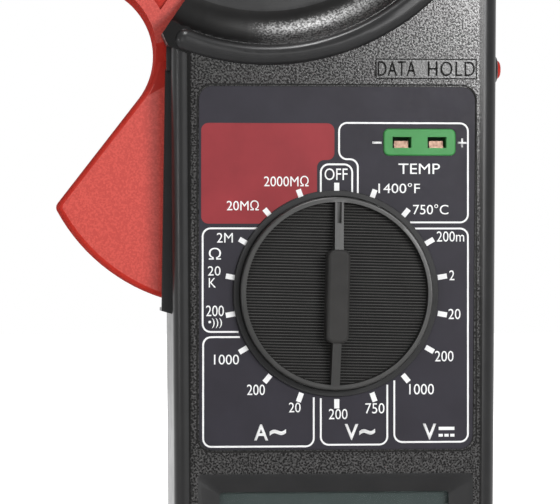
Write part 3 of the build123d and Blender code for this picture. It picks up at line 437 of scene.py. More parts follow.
@dataclass(frozen=True)
class ClearPlate:
    """Clear window with a faint tint. Sizes are in metres."""

    name: str
    tint: Colour
    roughness: float = 0.06
    duller: float = 0.05
    sheen: float = 0.003
    gloss: float = 0.15
    bending: float = 1.49
    cover: float = 0.07

    def material(self) -> bpy.types.Material:
        """Builds the material.

        Returns:
            The finished material.
        """
        n = Nodes.start(bpy.data.materials.new(self.name))
        shader = n.add("ShaderNodeBsdfPrincipled", Base_Color=(*self.tint, 1.0), IOR=self.bending,
                       Alpha=self.cover, Specular_IOR_Level=self.gloss)
        rough = n.spread(n.noise(self.sheen), self.roughness, self.roughness + self.duller)
        return n.close(shader, Roughness=rough)


class Finishes:
    """Every finish of the meter, built once."""

    def __init__(self) -> None:
        """Builds the materials."""
        pit, peak = (0.004, 0.0039, 0.0038), (0.04, 0.039, 0.038)
        sanded_half = 0.0312
        self.case_sand = SandedPlastic("black_sanded_plastic", pit, peak, margin=sanded_half).material()
        self.bowl_sand = RingSandedPlastic("black_bowl_plastic", pit, peak, roughness=0.33).material()
        self.plate_sand = SandedPlastic(
            "black_plate_plastic", (0.016, 0.0157, 0.0153), (0.034, 0.0333, 0.0325), pits=0.15).material()
        self.case_smooth = SmoothPlastic(
            "black_smooth_plastic", (0.011, 0.011, 0.0115), (0.016, 0.016, 0.0165), 0.3, 0.2).material()
        self.knob = SmoothPlastic(
            "black_knob_plastic", (0.012, 0.0118, 0.011), (0.018, 0.0175, 0.0165), 0.36, 0.35).material()
        # Painted shade: the knob's own black made darker, for the dished floor between its ridges, the
        # groove round the film and the edges of the moulded words.
        self.shade_black = SmoothPlastic(
            "painted_shade_black", (0.004, 0.0038, 0.0035), (0.006, 0.0058, 0.0054), 0.6, 0.1).material()
        # Painted highlight: the knob's own black made lighter, for the crests of its ridges.
        self.ridge_highlight = SmoothPlastic(
            "knob_ridge_painted_highlight", (0.024, 0.0232, 0.0215), (0.034, 0.033, 0.031), 0.42, 0.3).material()
        self.grip = SmoothPlastic(
            "black_grip_plastic", (0.024, 0.0232, 0.0225), (0.032, 0.031, 0.03), 0.6, 0.12,
            wave_strength=0.05).material()
        self.red_sand = SandedPlastic(
            "red_sanded_plastic", (0.50, 0.04, 0.027), (0.60, 0.062, 0.043),
            depth=0.000025, strength=0.8, roughness=0.46, gloss=0.3, pits=0.0).material()
        self.red_smooth = SmoothPlastic(
            "red_smooth_plastic", (0.46, 0.026, 0.017), (0.52, 0.034, 0.022), 0.5, 0.08).material()
        self.red_side = SmoothPlastic(
            "red_side_plastic", (0.5, 0.032, 0.021), (0.56, 0.04, 0.027), 0.8, 0.01).material()
        self.film = PrintedFilm(
            "charcoal_film", (0.024, 0.022, 0.029), (0.029, 0.027, 0.036), 0.45, 0.1).material()
        self.white_ink = PrintedFilm("white_ink", (0.82, 0.82, 0.82), (0.9, 0.9, 0.9), 0.5).material()
        self.red_ink = PrintedFilm("red_ink", (0.25, 0.03, 0.036), (0.3, 0.036, 0.043), 0.45, 0.1).material()
        self.green = SmoothPlastic(
            "green_socket_plastic", (0.05, 0.25, 0.068), (0.062, 0.29, 0.084), 0.4, 0.15).material()
        self.window = ClearPlate("clear_window_plate", (0.04, 0.05, 0.048)).material()
        self.display = PrintedFilm(
            "display_glass", (0.048, 0.066, 0.063), (0.056, 0.076, 0.072), 0.35, 0.15).material()
        self.ivory = SmoothPlastic("ivory_moulding", (0.62, 0.58, 0.5), (0.7, 0.66, 0.58), 0.45).material()
        self.rubber = SmoothPlastic("grey_rubber", (0.05, 0.05, 0.052), (0.07, 0.07, 0.072), 0.75).material()
        self.board = PrintedFilm("green_board", (0.015, 0.11, 0.04), (0.025, 0.16, 0.06), 0.35).material()
        self.resin = SmoothPlastic(
            "black_resin", (0.014, 0.014, 0.015), (0.022, 0.022, 0.023), 0.4).material()
        self.blue = SmoothPlastic("blue_coating", (0.02, 0.07, 0.3), (0.03, 0.1, 0.38), 0.3).material()
        self.tan = SmoothPlastic("tan_coating", (0.42, 0.27, 0.12), (0.5, 0.34, 0.16), 0.35).material()
        self.red_lead = SmoothPlastic(
            "red_lead_insulation", (0.42, 0.02, 0.015), (0.5, 0.03, 0.02), 0.45).material()
        self.battery = PrintedFilm("battery_jacket", (0.16, 0.17, 0.18), (0.2, 0.21, 0.22), 0.3).material()
        self.steel = Metal("plated_steel", (0.5, 0.5, 0.5), (0.66, 0.66, 0.66)).material()
        self.core = Metal("core_laminations", (0.3, 0.3, 0.31), (0.42, 0.42, 0.43), 0.4).material()
        self.copper = Metal("copper", (0.62, 0.27, 0.13), (0.8, 0.4, 0.22), 0.3).material()
        self.contact = Metal("dull_contact_alloy", (0.14, 0.085, 0.065), (0.24, 0.16, 0.12), 0.5).material()
        self.brass = Metal("brass", (0.66, 0.46, 0.16), (0.8, 0.6, 0.26), 0.25).material()


# ------------------------------------------------------------------ workbench


def along_y(a: Vector, b: Vector) -> bool:
    """Says whether an edge, given by its two ends, runs along Y."""
    return abs(a.x - b.x) < SAME and abs(a.z - b.z) < SAME


def ahead_of(y: float) -> Test:
    """Returns the test for edges whose two ends lie in front of a place along Y."""
    return lambda a, b: max(a.y, b.y) < y


class Bench:
    """Hand tools: thin wrappers of Blender's own operators."""

    @staticmethod
    def clear() -> None:
        """Deselects every object."""
        bpy.ops.object.select_all(action="DESELECT")

    @staticmethod
    def pick(*objects: bpy.types.Object) -> None:
        """Selects only some objects and makes the first of them active.

        Args:
            *objects: The objects to select.
        """
        Bench.clear()
        for item in objects:
            item.select_set(True)
        bpy.context.view_layer.objects.active = objects[0]

    @staticmethod
    def settle(item: bpy.types.Object) -> None:
        """Puts an object's place, turn and size into its mesh."""
        Bench.pick(item)
        bpy.ops.object.transform_apply(location=True, rotation=True, scale=True)

    @staticmethod
    def block(name: str, low: Sequence[float], high: Sequence[float]) -> bpy.types.Object:
        """Box between two corners.

        Args:
            name: Name of the piece.
            low: Lowest corner in millimetres.
            high: Highest corner in millimetres.

        Returns:
            The box, its place in its mesh.
        """
        Bench.clear()
        middle = [(a + b) / 2 * MM for a, b in zip(low, high)]
        bpy.ops.mesh.primitive_cube_add(size=1.0, location=middle)
        item = bpy.context.object
        item.scale = [(b - a) * MM for a, b in zip(low, high)]
        item.name = name
        Bench.settle(item)
        return item

    @staticmethod
    def rod(name: str, centre: Point, radius: float, front: float, back: float) -> bpy.types.Object:
        """Cylinder along Y, with its place in its mesh.

        Args:
            name: Name of the piece.
            centre: X and Z of its axis in millimetres.
            radius: Radius in millimetres.
            front: Y of its front end in millimetres.
            back: Y of its rear end in millimetres.

        Returns:
            The cylinder.
        """
        Bench.clear()
        x, z = centre
        bpy.ops.mesh.primitive_cylinder_add(
            vertices=ROUND, radius=radius * MM, depth=(back - front) * MM,
            location=(x * MM, (front + back) / 2 * MM, z * MM), rotation=(math.pi / 2, 0, 0))
        item = bpy.context.object
        item.name = name
        Bench.settle(item)
        return item

    @staticmethod
    def text(name: str, word: str, target: str, **settings: float) -> bpy.types.Object:
        """Sets a word flat at the origin.

        Args:
            name: Name of the piece.
            word: What to set.
            target: What it is converted to, MESH or CURVE.
            **settings: Settings of Blender's text.

        Returns:
            The converted word.
        """
        Bench.clear()
        bpy.ops.object.text_add(location=(0, 0, 0))
        item = bpy.context.object
        item.data.body = word
        for key, value in settings.items():
            setattr(item.data, key, value)
        bpy.ops.object.convert(target=target)
        item = bpy.context.object
        item.name = name
        return item

    @staticmethod
    def fit(item: bpy.types.Object, places: Sequence[Vector], wide: float, high: float) -> None:
        """Scales a flat word to a size and puts its lower left corner at the origin.

        Args:
            item: The word.
            places: Places of its points.
            wide: Width in millimetres.
            high: Height in millimetres.
        """
        x0, x1 = min(p.x for p in places), max(p.x for p in places)
        y0, y1 = min(p.y for p in places), max(p.y for p in places)
        size = Matrix.Diagonal((wide / (x1 - x0), high / (y1 - y0), 1, 1))
        item.data.transform(size @ Matrix.Translation((-x0, -y0, 0)))

    @staticmethod
    def stand(item: bpy.types.Object, x: float, y: float, z: float) -> None:
        """Stands a flat piece, drawn in millimetres, up to face the viewer of the panel.

        Args:
            item: The piece.
            x: Place of its origin across the panel in millimetres.
            y: Place of its origin from front to rear in millimetres.
            z: Height of its origin in millimetres.
        """
        item.data.transform(Matrix.Diagonal((MM, MM, MM, 1)))
        item.data.transform(Matrix.Rotation(math.pi / 2, 4, "X"))
        item.data.transform(Matrix.Translation((x * MM, y * MM, z * MM)))

    @staticmethod
    def select_edges(item: bpy.types.Object, test: Test) -> int:
        """In edit mode, selects the edges that pass a test on their two ends.

        Args:
            item: Object in edit mode.
            test: Told each edge's two ends in millimetres.

        Returns:
            How many edges are selected.
        """
        mesh = bmesh.from_edit_mesh(item.data)
        count = 0
        for face in mesh.faces:
            face.select_set(False)
        for edge in mesh.edges:
            edge.select_set(False)
        for edge in mesh.edges:
            if test(edge.verts[0].co / MM, edge.verts[1].co / MM):
                edge.select_set(True)
                count += 1
        bmesh.update_edit_mesh(item.data)
        return count

    @staticmethod
    def bevel(item: bpy.types.Object, width: float, segments: int, test: Test) -> None:
        """Rounds the edges that pass a test.

        Args:
            item: Piece to round.
            width: Width of the rounding in millimetres.
            segments: Steps of the rounding.
            test: Told each edge's two ends in millimetres.
        """
        Bench.pick(item)
        bpy.ops.object.mode_set(mode="EDIT")
        bpy.ops.mesh.select_mode(type="EDGE")
        if Bench.select_edges(item, test):
            bpy.ops.mesh.bevel(offset=width * MM, offset_type="OFFSET", segments=segments, affect="EDGES")
        bpy.ops.object.mode_set(mode="OBJECT")

    @staticmethod
    def finish(item: bpy.types.Object, kind: str, **settings: object) -> None:
        """Adds a modifier to a piece and applies it.

        Args:
            item: Piece to change.
            kind: Blender's type name of the modifier.
            **settings: Attributes of the modifier.
        """
        Bench.pick(item)
        modifier = item.modifiers.new(kind.lower(), kind)
        for key, value in settings.items():
            setattr(modifier, key, value)
        bpy.ops.object.modifier_apply(modifier=modifier.name)

    @staticmethod
    def cut(item: bpy.types.Object, tool: bpy.types.Object, operation: str = "DIFFERENCE") -> None:
        """Cuts a piece with another, which is then removed."""
        Bench.finish(item, "BOOLEAN", operation=operation, object=tool, solver="EXACT")
        bpy.data.objects.remove(tool, do_unlink=True)

    @staticmethod
    def smooth(item: bpy.types.Object, angle: float) -> None:
        """Shades a piece smooth, except over edges sharper than an angle in degrees."""
        Bench.pick(item)
        bpy.ops.object.shade_smooth_by_angle(angle=math.radians(angle))

    @staticmethod
    def join(name: str, items: Sequence[bpy.types.Object]) -> bpy.types.Object:
        """Joins pieces into one.

        Args:
            name: Name of the joined piece.
            items: The pieces, of which the first takes up the others.

        Returns:
            The joined piece.
        """
        Bench.pick(*items)
        if len(items) > 1:
            bpy.ops.object.join()
        items[0].name = name
        return items[0]

    @staticmethod
    def turn(item: bpy.types.Object, degrees: float, x: float, z: float) -> None:
        """Turns a piece about an axis along Y.

        Args:
            item: The piece.
            degrees: Angle, counterclockwise as the viewer of the panel sees it.
            x: Place of the axis across the panel in millimetres.
            z: Height of the axis in millimetres.
        """
        centre = Matrix.Translation(Vector((x * MM, 0, z * MM)))
        spin = Matrix.Rotation(math.radians(degrees), 4, (0, -1, 0))
        item.data.transform(centre @ spin @ centre.inverted())

    @staticmethod
    def coat(item: bpy.types.Object, material: bpy.types.Material) -> None:
        """Gives a piece its first and only material."""
        item.data.materials.clear()
        item.data.materials.append(material)

    @staticmethod
    def dress(item: bpy.types.Object, material: bpy.types.Material, body: Body, slot: Slot) -> None:
        """Gives a new piece its material and body.

        Args:
            item: The piece.
            material: Its material.
            body: Body that it rides on.
            slot: Slot of the record; not used.
        """
        Bench.coat(item, material)
        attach(item, body.value)
        LOG.info("%s: %d faces on %s", item.name, len(item.data.polygons), body.value)


@dataclass
class CarriedPiece:
    """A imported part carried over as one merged, smoothly shaded mesh with a finish for each zone."""

    node: str
    body: Body
    slot: Slot
    base: bpy.types.Material
    zones: Sequence[tuple[bpy.types.Material, Test]] = ()
    angle: float = 32.0
    flat_weight: int = 60

    def copy(self) -> bpy.types.Object:
        """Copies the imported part.

        Returns:
            The copy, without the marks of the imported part.
        """
        source = bpy.data.objects[self.node]
        item = source.copy()
        item.data = source.data.copy()
        for key in [k for k in item.keys() if k.startswith("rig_")]:
            del item[key]
        item.name = f"{self.node}_dressed"
        bpy.context.collection.objects.link(item)
        item.parent = None
        item.matrix_world = Matrix.Identity(4)
        return item

    def merge(self, item: bpy.types.Object) -> None:
        """Merges the loose triangles of a copy and shades it.

        Args:
            item: The copy.
        """
        Bench.pick(item)
        bpy.ops.mesh.customdata_custom_splitnormals_clear()
        bpy.ops.object.mode_set(mode="EDIT")
        bpy.ops.mesh.select_all(action="SELECT")
        bpy.ops.mesh.remove_doubles(threshold=MERGE)
        bpy.ops.object.mode_set(mode="OBJECT")
        Bench.smooth(item, self.angle)
        Bench.finish(item, "WEIGHTED_NORMAL", mode="FACE_AREA", weight=self.flat_weight, keep_sharp=True)

    def build(self) -> None:
        """Carries the part over and dresses it, each face in the finish of its last zone."""
        item = self.copy()
        self.merge(item)
        Bench.dress(item, self.base, self.body, self.slot)
        for material, _ in self.zones:
            item.data.materials.append(material)
        for face in item.data.polygons:
            face.material_index = 0
            for index, (_, test) in enumerate(self.zones, 1):
                if test(face.center / MM, face.normal):
                    face.material_index = index
        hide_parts(self.node)


# ------------------------------------------------------------------ case


@dataclass
class CaseShell:
    """Black case halves, battery door and their screws."""

    finishes: Finishes
    panel_y: float = -16.0
    rear_y: float = 15.5
    texture_drop: float = 0.3
    ring: Point = (-14.8, 186.8)
    bowl_flat: float = 11.25
    bowl_step: float = 0.4
    bowl_inner_r: float = 30.0
    bowl_r: float = 44.6
    bowl_slope: float = -0.2

    def sanded_front(self, at: Vector, normal: Vector) -> bool:
        """Says whether a face of the front half carries the sand texture."""
        return normal.y < -SQUARE and abs(at.y - self.panel_y) < self.texture_drop

    def sanded_bowl(self, at: Vector, normal: Vector) -> bool:
        """Says whether a face of the front half belongs to the bowl under the ring.

        Args:
            at: Middle of the face in millimetres.
            normal: Normal of the face.

        Returns:
            True for a face of the bowl.
        """
        radius = math.hypot(at.x - self.ring[0], at.z - self.ring[1])
        deep = self.panel_y + self.bowl_step < at.y < -self.bowl_flat
        return self.bowl_inner_r < radius < self.bowl_r and deep and normal.y < self.bowl_slope

    def sanded_rear(self, at: Vector, normal: Vector) -> bool:
        """Says whether a face of the rear half carries the sand texture."""
        return normal.y > SQUARE and abs(at.y - self.rear_y) < self.texture_drop

    def build(self) -> None:
        """Dresses the two halves, the door and the screws."""
        f = self.finishes
        front = ((f.case_sand, self.sanded_front), (f.bowl_sand, self.sanded_bowl))
        rear = ((f.case_sand, self.sanded_rear),)
        halves = {
            "front_case": front, "fixed_jaw_front": front,
            "rear_case": rear, "fixed_jaw_rear": rear, "battery_door": rear,
        }
        for node, zones in halves.items():
            CarriedPiece(node, Body.CASE, Slot.CASE, f.case_smooth, zones).build()
        for node in ("case_screws", "battery_door_screw"):
            CarriedPiece(node, Body.CASE, Slot.STEEL, f.steel).build()


# ------------------------------------------------------------------ lever


@dataclass
class JawAndLever:
    """Red moving jaw with its lever."""

    finishes: Finishes
    jaw_y: float = 9.0
    lever_y: float = -6.5
    neck_z: float = 134.0
    neck_high_z: float = 143.4
    side_slope: float = 0.35

    def sanded_front(self, at: Vector, normal: Vector) -> bool:
        """Says whether a face of the front half carries the sand texture.

        Args:
            at: Middle of the face in millimetres.
            normal: Normal of the face.

        Returns:
            True for a face on the front plane of the lever or of the jaw.
        """
        lever = abs(at.y - self.lever_y) < ON_PLANE and at.z < self.neck_z
        jaw = abs(at.y + self.jaw_y) < ON_PLANE and at.z > self.neck_high_z
        return normal.y <= -SQUARE and (lever or jaw)

    def sanded_rear(self, at: Vector, normal: Vector) -> bool:
        """Says whether a face of the rear half carries the sand texture."""
        return normal.y > SQUARE and abs(at.y - self.jaw_y) < ON_PLANE

    def side(self, at: Vector, normal: Vector) -> bool:
        """Says whether a face belongs to the sides that run from front to rear."""
        return abs(normal.y) < self.side_slope

    def build(self) -> None:
        """Dresses both red halves and the screws that ride with them."""
        f = self.finishes
        for node, sanded in (("moving_jaw_front", self.sanded_front), ("moving_jaw_rear", self.sanded_rear)):
            zones = ((f.red_sand, sanded), (f.red_side, self.side))
            CarriedPiece(node, Body.JAW, Slot.RED, f.red_smooth, zones).build()
        CarriedPiece("jaw_screws", Body.JAW, Slot.STEEL, f.steel).build()


# ------------------------------------------------------------------ panel printing


@dataclass(frozen=True)
class Word:
    """A printed word and the box that it fills, in millimetres on the panel."""

    text: str
    left: float
    right: float
    low: float
    high: float
    bold: float = 0.0


@dataclass(frozen=True)
class Line:
    """A printed frame line: its corner points in millimetres on the panel."""

    name: str
    points: tuple[Point, ...]


@dataclass
class PanelPrinting:
    """Ink on the panel's film."""

    finishes: Finishes
    surface: float = -15.85
    ink: float = 0.02
    curve_steps: int = 4
    # Front of the dark rim round the film, which is painted shade of its groove.
    groove_shade_y: float = -16.02
    line_width: float = 0.38
    stub: float = 0.2
    corner: float = 1.7
    corner_steps: int = 7
    weld: float = 0.01
    knob: Point = (0.0, 89.1)
    dial: Point = (0.2, 88.65)
    tick_r: float = 22.95
    tick_len: float = 2.0
    tick_wide: float = 1.1
    tick_high: float = 0.01
    positions: int = 18
    knob_gap: float = 21.95
    spare: float = 5.0
    words: tuple[Word, ...] = (
        Word("OFF", -2.4, 2.5, 113.15, 115.65), Word("1400°F", 9.1, 18.0, 110.4, 112.55),
        Word("750°C", 16.5, 24.1, 105.9, 108.05), Word("200m", 21.6, 27.5, 100.1, 102.3),
        Word("2", 24.3, 25.4, 91.9, 94.0), Word("20", 24.1, 26.7, 83.6, 85.8),
        Word("200", 21.2, 25.2, 74.6, 76.85), Word("1000", 15.7, 21.0, 67.6, 69.85),
        Word("750", 6.3, 10.4, 63.6, 65.8), Word("200", -1.5, 2.5, 62.4, 64.6),
        Word("20", -10.0, -7.5, 63.9, 66.0), Word("200", -18.9, -15.1, 67.6, 69.85),
        Word("1000", -25.9, -20.6, 74.1, 76.2), Word("200", -27.6, -23.8, 84.3, 86.6),
        Word("•)))", -27.1, -24.2, 81.8, 83.9), Word("20", -27.2, -24.5, 92.9, 94.9),
        Word("K", -27.0, -25.5, 90.4, 92.4), Word("Ω", -27.0, -24.4, 96.3, 98.8),
        Word("2M", -25.3, -21.9, 99.9, 101.95), Word("20MΩ", -23.2, -16.4, 106.7, 108.85),
        Word("2000MΩ", -15.3, -5.8, 111.8, 114.05),
        Word("A", -17.4, -14.4, 58.0, 61.4, 0.018), Word("~", -14.1, -10.6, 59.0, 60.4, 0.03),
        Word("V", 1.9, 4.8, 58.0, 61.4, 0.018), Word("~", 5.0, 8.4, 59.0, 60.4, 0.03),
        Word("V", 18.6, 21.5, 58.0, 61.4, 0.018),
        Word("−", 7.8, 9.8, 120.9, 121.35, 0.01), Word("+", 26.1, 28.0, 120.2, 122.1, 0.01),
        Word("TEMP", 13.4, 22.3, 114.5, 116.7),
    )
    lines: tuple[Line, ...] = (
        Line("temperature_frame", ((4.7, 110.4), (4.7, 117.6), (0.7, 117.6), (0.7, 125.3), (28.3, 125.3),
                                   (28.3, 104.2), (15.9, 104.2))),
        Line("off_frame", ((-3.2, 110.4), (-3.2, 116.5), (3.5, 116.5), (3.5, 110.4))),
        Line("direct_volt_frame", ((16.9, 102.9), (28.3, 102.9), (28.3, 57.5), (12.5, 57.5), (12.5, 70.6))),
        Line("mains_volt_frame", ((-3.2, 66.9), (-3.2, 57.0), (11.0, 57.0), (11.0, 69.7))),
        Line("current_frame", ((-20.4, 79.9), (-28.2, 79.9), (-28.2, 56.7), (-4.7, 56.7), (-4.7, 67.1))),
        Line("ohm_frame", ((-16.5, 102.9), (-28.3, 102.9), (-28.3, 81.0), (-20.7, 81.0))),
    )
    dash_boxes: tuple[Box, ...] = (
        (22.0, 25.4, 60.0, 60.7),
        (22.0, 22.9, 58.6, 59.2), (23.25, 24.15, 58.6, 59.2), (24.5, 25.4, 58.6, 59.2),
    )
    label: Box = (-29.3, 29.9, 55.75, 133.25)
    label_corner: float = 3.1
    label_steps: int = 8
    groove: float = 0.32
    red_block: Box = (-28.6, -0.3, 103.9, 125.2)
    red_step: Point = (-4.0, 117.4)
    red_corner: float = 1.5
    red_steps: int = 6
    red_high: float = 0.008
    red_sunk: float = 0.005

    def word(self, word: Word, number: int) -> bpy.types.Object:
        """Sets one word flat on the film, fitted to its box.

        Args:
            word: What to set.
            number: Number that keeps its name unique.

        Returns:
            The flat mesh.
        """
        item = Bench.text(f"word_{number}", word.text, "MESH", resolution_u=self.curve_steps,
                          offset=word.bold)
        places = [vertex.co for vertex in item.data.vertices]
        Bench.fit(item, places, word.right - word.left, word.high - word.low)
        Bench.stand(item, word.left, self.surface - self.ink / 2, word.low)
        return item

    def ribbon(self, line: Line) -> bpy.types.Object:
        """Draws one frame line by extruding and spinning its end edge.

        Args:
            line: The line's corners.

        Returns:
            The flat band.
        """
        Bench.clear()
        points = [Vector((x, 0, z)) for x, z in line.points]
        run = (points[1] - points[0]).normalized()
        centre = (points[0] + run * self.stub / 2) * MM
        bpy.ops.mesh.primitive_plane_add(
            size=1.0, location=(centre.x, self.surface * MM, centre.z), rotation=(math.pi / 2, 0, 0))
        item = bpy.context.object
        item.name = line.name
        wide, long = self.line_width * MM, self.stub * MM
        item.scale = (long, wide, 1) if abs(run.x) > abs(run.z) else (wide, long, 1)
        Bench.settle(item)
        bpy.ops.object.mode_set(mode="EDIT")
        bpy.ops.mesh.select_mode(type="EDGE")
        end, first = points[0] + run * self.stub, run.copy()

        def at_end(a: Vector, b: Vector) -> bool:
            """Says whether an edge is the end of the band's first stretch."""
            return abs((a - end).dot(first)) < SAME and abs((b - end).dot(first)) < SAME

        Bench.select_edges(item, at_end)
        done = self.stub
        for here, there, after in zip(points, points[1:], [*points[2:], None]):
            run = (there - here).normalized()
            length = (there - here).length - done - (self.corner if after is not None else 0)
            step = run * length * MM
            bpy.ops.mesh.extrude_edges_move(TRANSFORM_OT_translate={"value": (step.x, 0, step.z)})
            if after is None:
                break
            turn = (after - there).normalized()
            side = 1 if run.z * turn.x - run.x * turn.z < 0 else -1
            pivot = (there - run * self.corner + turn * self.corner) * MM
            bpy.ops.mesh.spin(steps=self.corner_steps, angle=math.pi / 2 * side,
                              center=(pivot.x, self.surface * MM, pivot.z), axis=(0, 1, 0))
            done = self.corner
        bpy.ops.mesh.select_all(action="SELECT")
        bpy.ops.mesh.remove_doubles(threshold=self.weld * MM)
        bpy.ops.object.mode_set(mode="OBJECT")
        return item

    def ticks(self) -> bpy.types.Object:
        """Makes a tick for each position of the knob and turns it round the dial.

        Returns:
            The joined ticks.
        """
        marks = []
        x, z = self.dial
        half = self.tick_wide / 2
        low, high = z + self.tick_r - self.tick_len / 2, z + self.tick_r + self.tick_len / 2
        for i in range(self.positions):
            mark = Bench.block(f"tick_{i}", (x - half, self.surface - self.tick_high, low),
                               (x + half, self.surface, high))
            Bench.turn(mark, -360 / self.positions * i, x, z)
            marks.append(mark)
        return Bench.join("dial_ticks", marks)

    def current_sign(self) -> bpy.types.Object:
        """Makes the direct current sign.

        Returns:
            A bar over three dashes.
        """
        bars = []
        for i, (left, right, low, high) in enumerate(self.dash_boxes):
            front, back = (left, self.surface - self.ink, low), (right, self.surface, high)
            bars.append(Bench.block(f"dash_{i}", front, back))
        return Bench.join("direct_current_sign", bars)

    def label_groove_shade(self) -> bpy.types.Object:
        """Makes a thin dark rim round the film: painted shade of the groove between the film and the panel.

        Returns:
            The thin dark rim.
        """
        left, right, low, high = self.label
        gap = self.groove
        rim = Bench.block("label_groove_shade", (left - gap, self.groove_shade_y, low - gap),
                          (right + gap, self.surface, high + gap))
        room = Bench.block("label_room", (left, CUT_FRONT, low), (right, CUT_REAR, high))
        Bench.bevel(rim, self.label_corner + gap, self.label_steps, along_y)
        Bench.bevel(room, self.label_corner, self.label_steps, along_y)
        Bench.cut(rim, room)
        return rim

    def red_field(self) -> bpy.types.Object:
        """Makes the red field.

        Returns:
            A rounded block with a step, cut round the knob.
        """
        left, right, low, high = self.red_block
        step_x, step_z = self.red_step
        red = Bench.block("red_field", (left, self.surface - self.red_high, low),
                          (right, self.surface + self.red_sunk, high))
        Bench.cut(red, Bench.block("notch", (step_x, CUT_FRONT, low - self.spare),
                                   (right + self.spare, CUT_REAR, step_z)))

        def corner(a: Vector, b: Vector) -> bool:
            """Says whether an edge is one of the corners that the gap round the knob leaves."""
            return along_y(a, b) and not (a.x > step_x - SAME and a.z < low + SAME)

        Bench.bevel(red, self.red_corner, self.red_steps, corner)
        Bench.cut(red, Bench.rod("bite", self.knob, self.knob_gap, CUT_FRONT, CUT_REAR))
        return red

    def build(self) -> None:
        """Prints everything on the film."""
        f = self.finishes
        words = Bench.join("panel_words", [self.word(word, i) for i, word in enumerate(self.words)])
        frames = Bench.join("panel_frame_lines", [self.ribbon(line) for line in self.lines])
        for flat in (words, frames):
            Bench.finish(flat, "SOLIDIFY", thickness=self.ink * MM, offset=0.0)
        for white in (words, frames, self.ticks(), self.current_sign()):
            Bench.dress(white, f.white_ink, Body.CASE, Slot.LABEL)
        Bench.dress(self.red_field(), f.red_ink, Body.CASE, Slot.LABEL)
        # Painted shade: a thin near-black rim in the groove round the film.
        Bench.dress(self.label_groove_shade(), f.shade_black, Body.CASE, Slot.CASE)
        CarriedPiece("panel_label", Body.CASE, Slot.LABEL, f.film).build()


# ------------------------------------------------------------------ knob


@dataclass
class RangeKnob:
    """Dished range knob with its ridges and pointer."""

    finishes: Finishes
    place: Point = (0.0, 89.1)
    tilt: float = -1.3
    floor_y: float = -17.4
    floor_slope: float = -0.9
    ridge_pitch: float = 0.615
    ridge_high: float = 0.3
    ridge_wide: float = 0.18
    ridge_round: float = 0.07
    ridge_root: float = 0.1
    trim_root: float = 0.08
    reach: float = 19.2
    spare: float = 1.0
    grip_y: float = -19.6
    grip_half_wide: float = 3.0
    grip_half_long: float = 11.0

    def ridges(self) -> bpy.types.Object:
        """Models one ridge, repeats it and trims the field to a disc.

        Returns:
            The ridges as one piece.
        """
        x, z = self.place
        half = self.ridge_wide / 2
        count = int(2 * self.reach / self.ridge_pitch)
        start = z - (count - 1) / 2 * self.ridge_pitch
        half_long = self.reach + self.spare
        bar = Bench.block("knob_ridges", (x - half_long, self.floor_y - self.ridge_high, start - half),
                          (x + half_long, self.floor_y + self.ridge_root, start + half))

        def crest(a: Vector, b: Vector) -> bool:
            """Says whether an edge runs along the top of the bar."""
            return max(a.y, b.y) < self.floor_y and abs(a.x - b.x) > self.reach

        Bench.bevel(bar, self.ridge_round, FINE_STEPS, crest)
        Bench.finish(bar, "ARRAY", count=count, use_relative_offset=False, use_constant_offset=True,
                     constant_offset_displace=(0, 0, self.ridge_pitch * MM))
        front, back = self.floor_y - self.spare, self.floor_y + self.trim_root
        trim = Bench.rod("trim", self.place, self.reach, front, back)
        Bench.cut(bar, trim, "INTERSECT")
        Bench.turn(bar, self.tilt, x, z)
        return bar

    def on_grip(self, at: Vector, normal: Vector) -> bool:
        """Says whether a face belongs to the bar grip."""
        across, along = abs(at.x - self.place[0]), abs(at.z - self.place[1])
        return at.y < self.grip_y and across < self.grip_half_wide and along < self.grip_half_long

    def on_floor(self, at: Vector, normal: Vector) -> bool:
        """Says whether a face belongs to the dished floor."""
        inside = math.hypot(at.x - self.place[0], at.z - self.place[1]) < self.reach + self.spare
        return inside and abs(at.y - self.floor_y) < ON_PLANE and normal.y < self.floor_slope

    def build(self) -> None:
        """Dresses the knob and adds its ridges."""
        f = self.finishes
        # The dished floor is in the painted-shade black and the ridges in the painted-highlight black; both
        # are the knob's own plastic.
        zones = ((f.grip, self.on_grip), (f.shade_black, self.on_floor))
        CarriedPiece("range_knob", Body.KNOB, Slot.KNOB, f.knob, zones).build()
        Bench.dress(self.ridges(), f.ridge_highlight, Body.KNOB, Slot.KNOB)


# ------------------------------------------------------------------ fittings


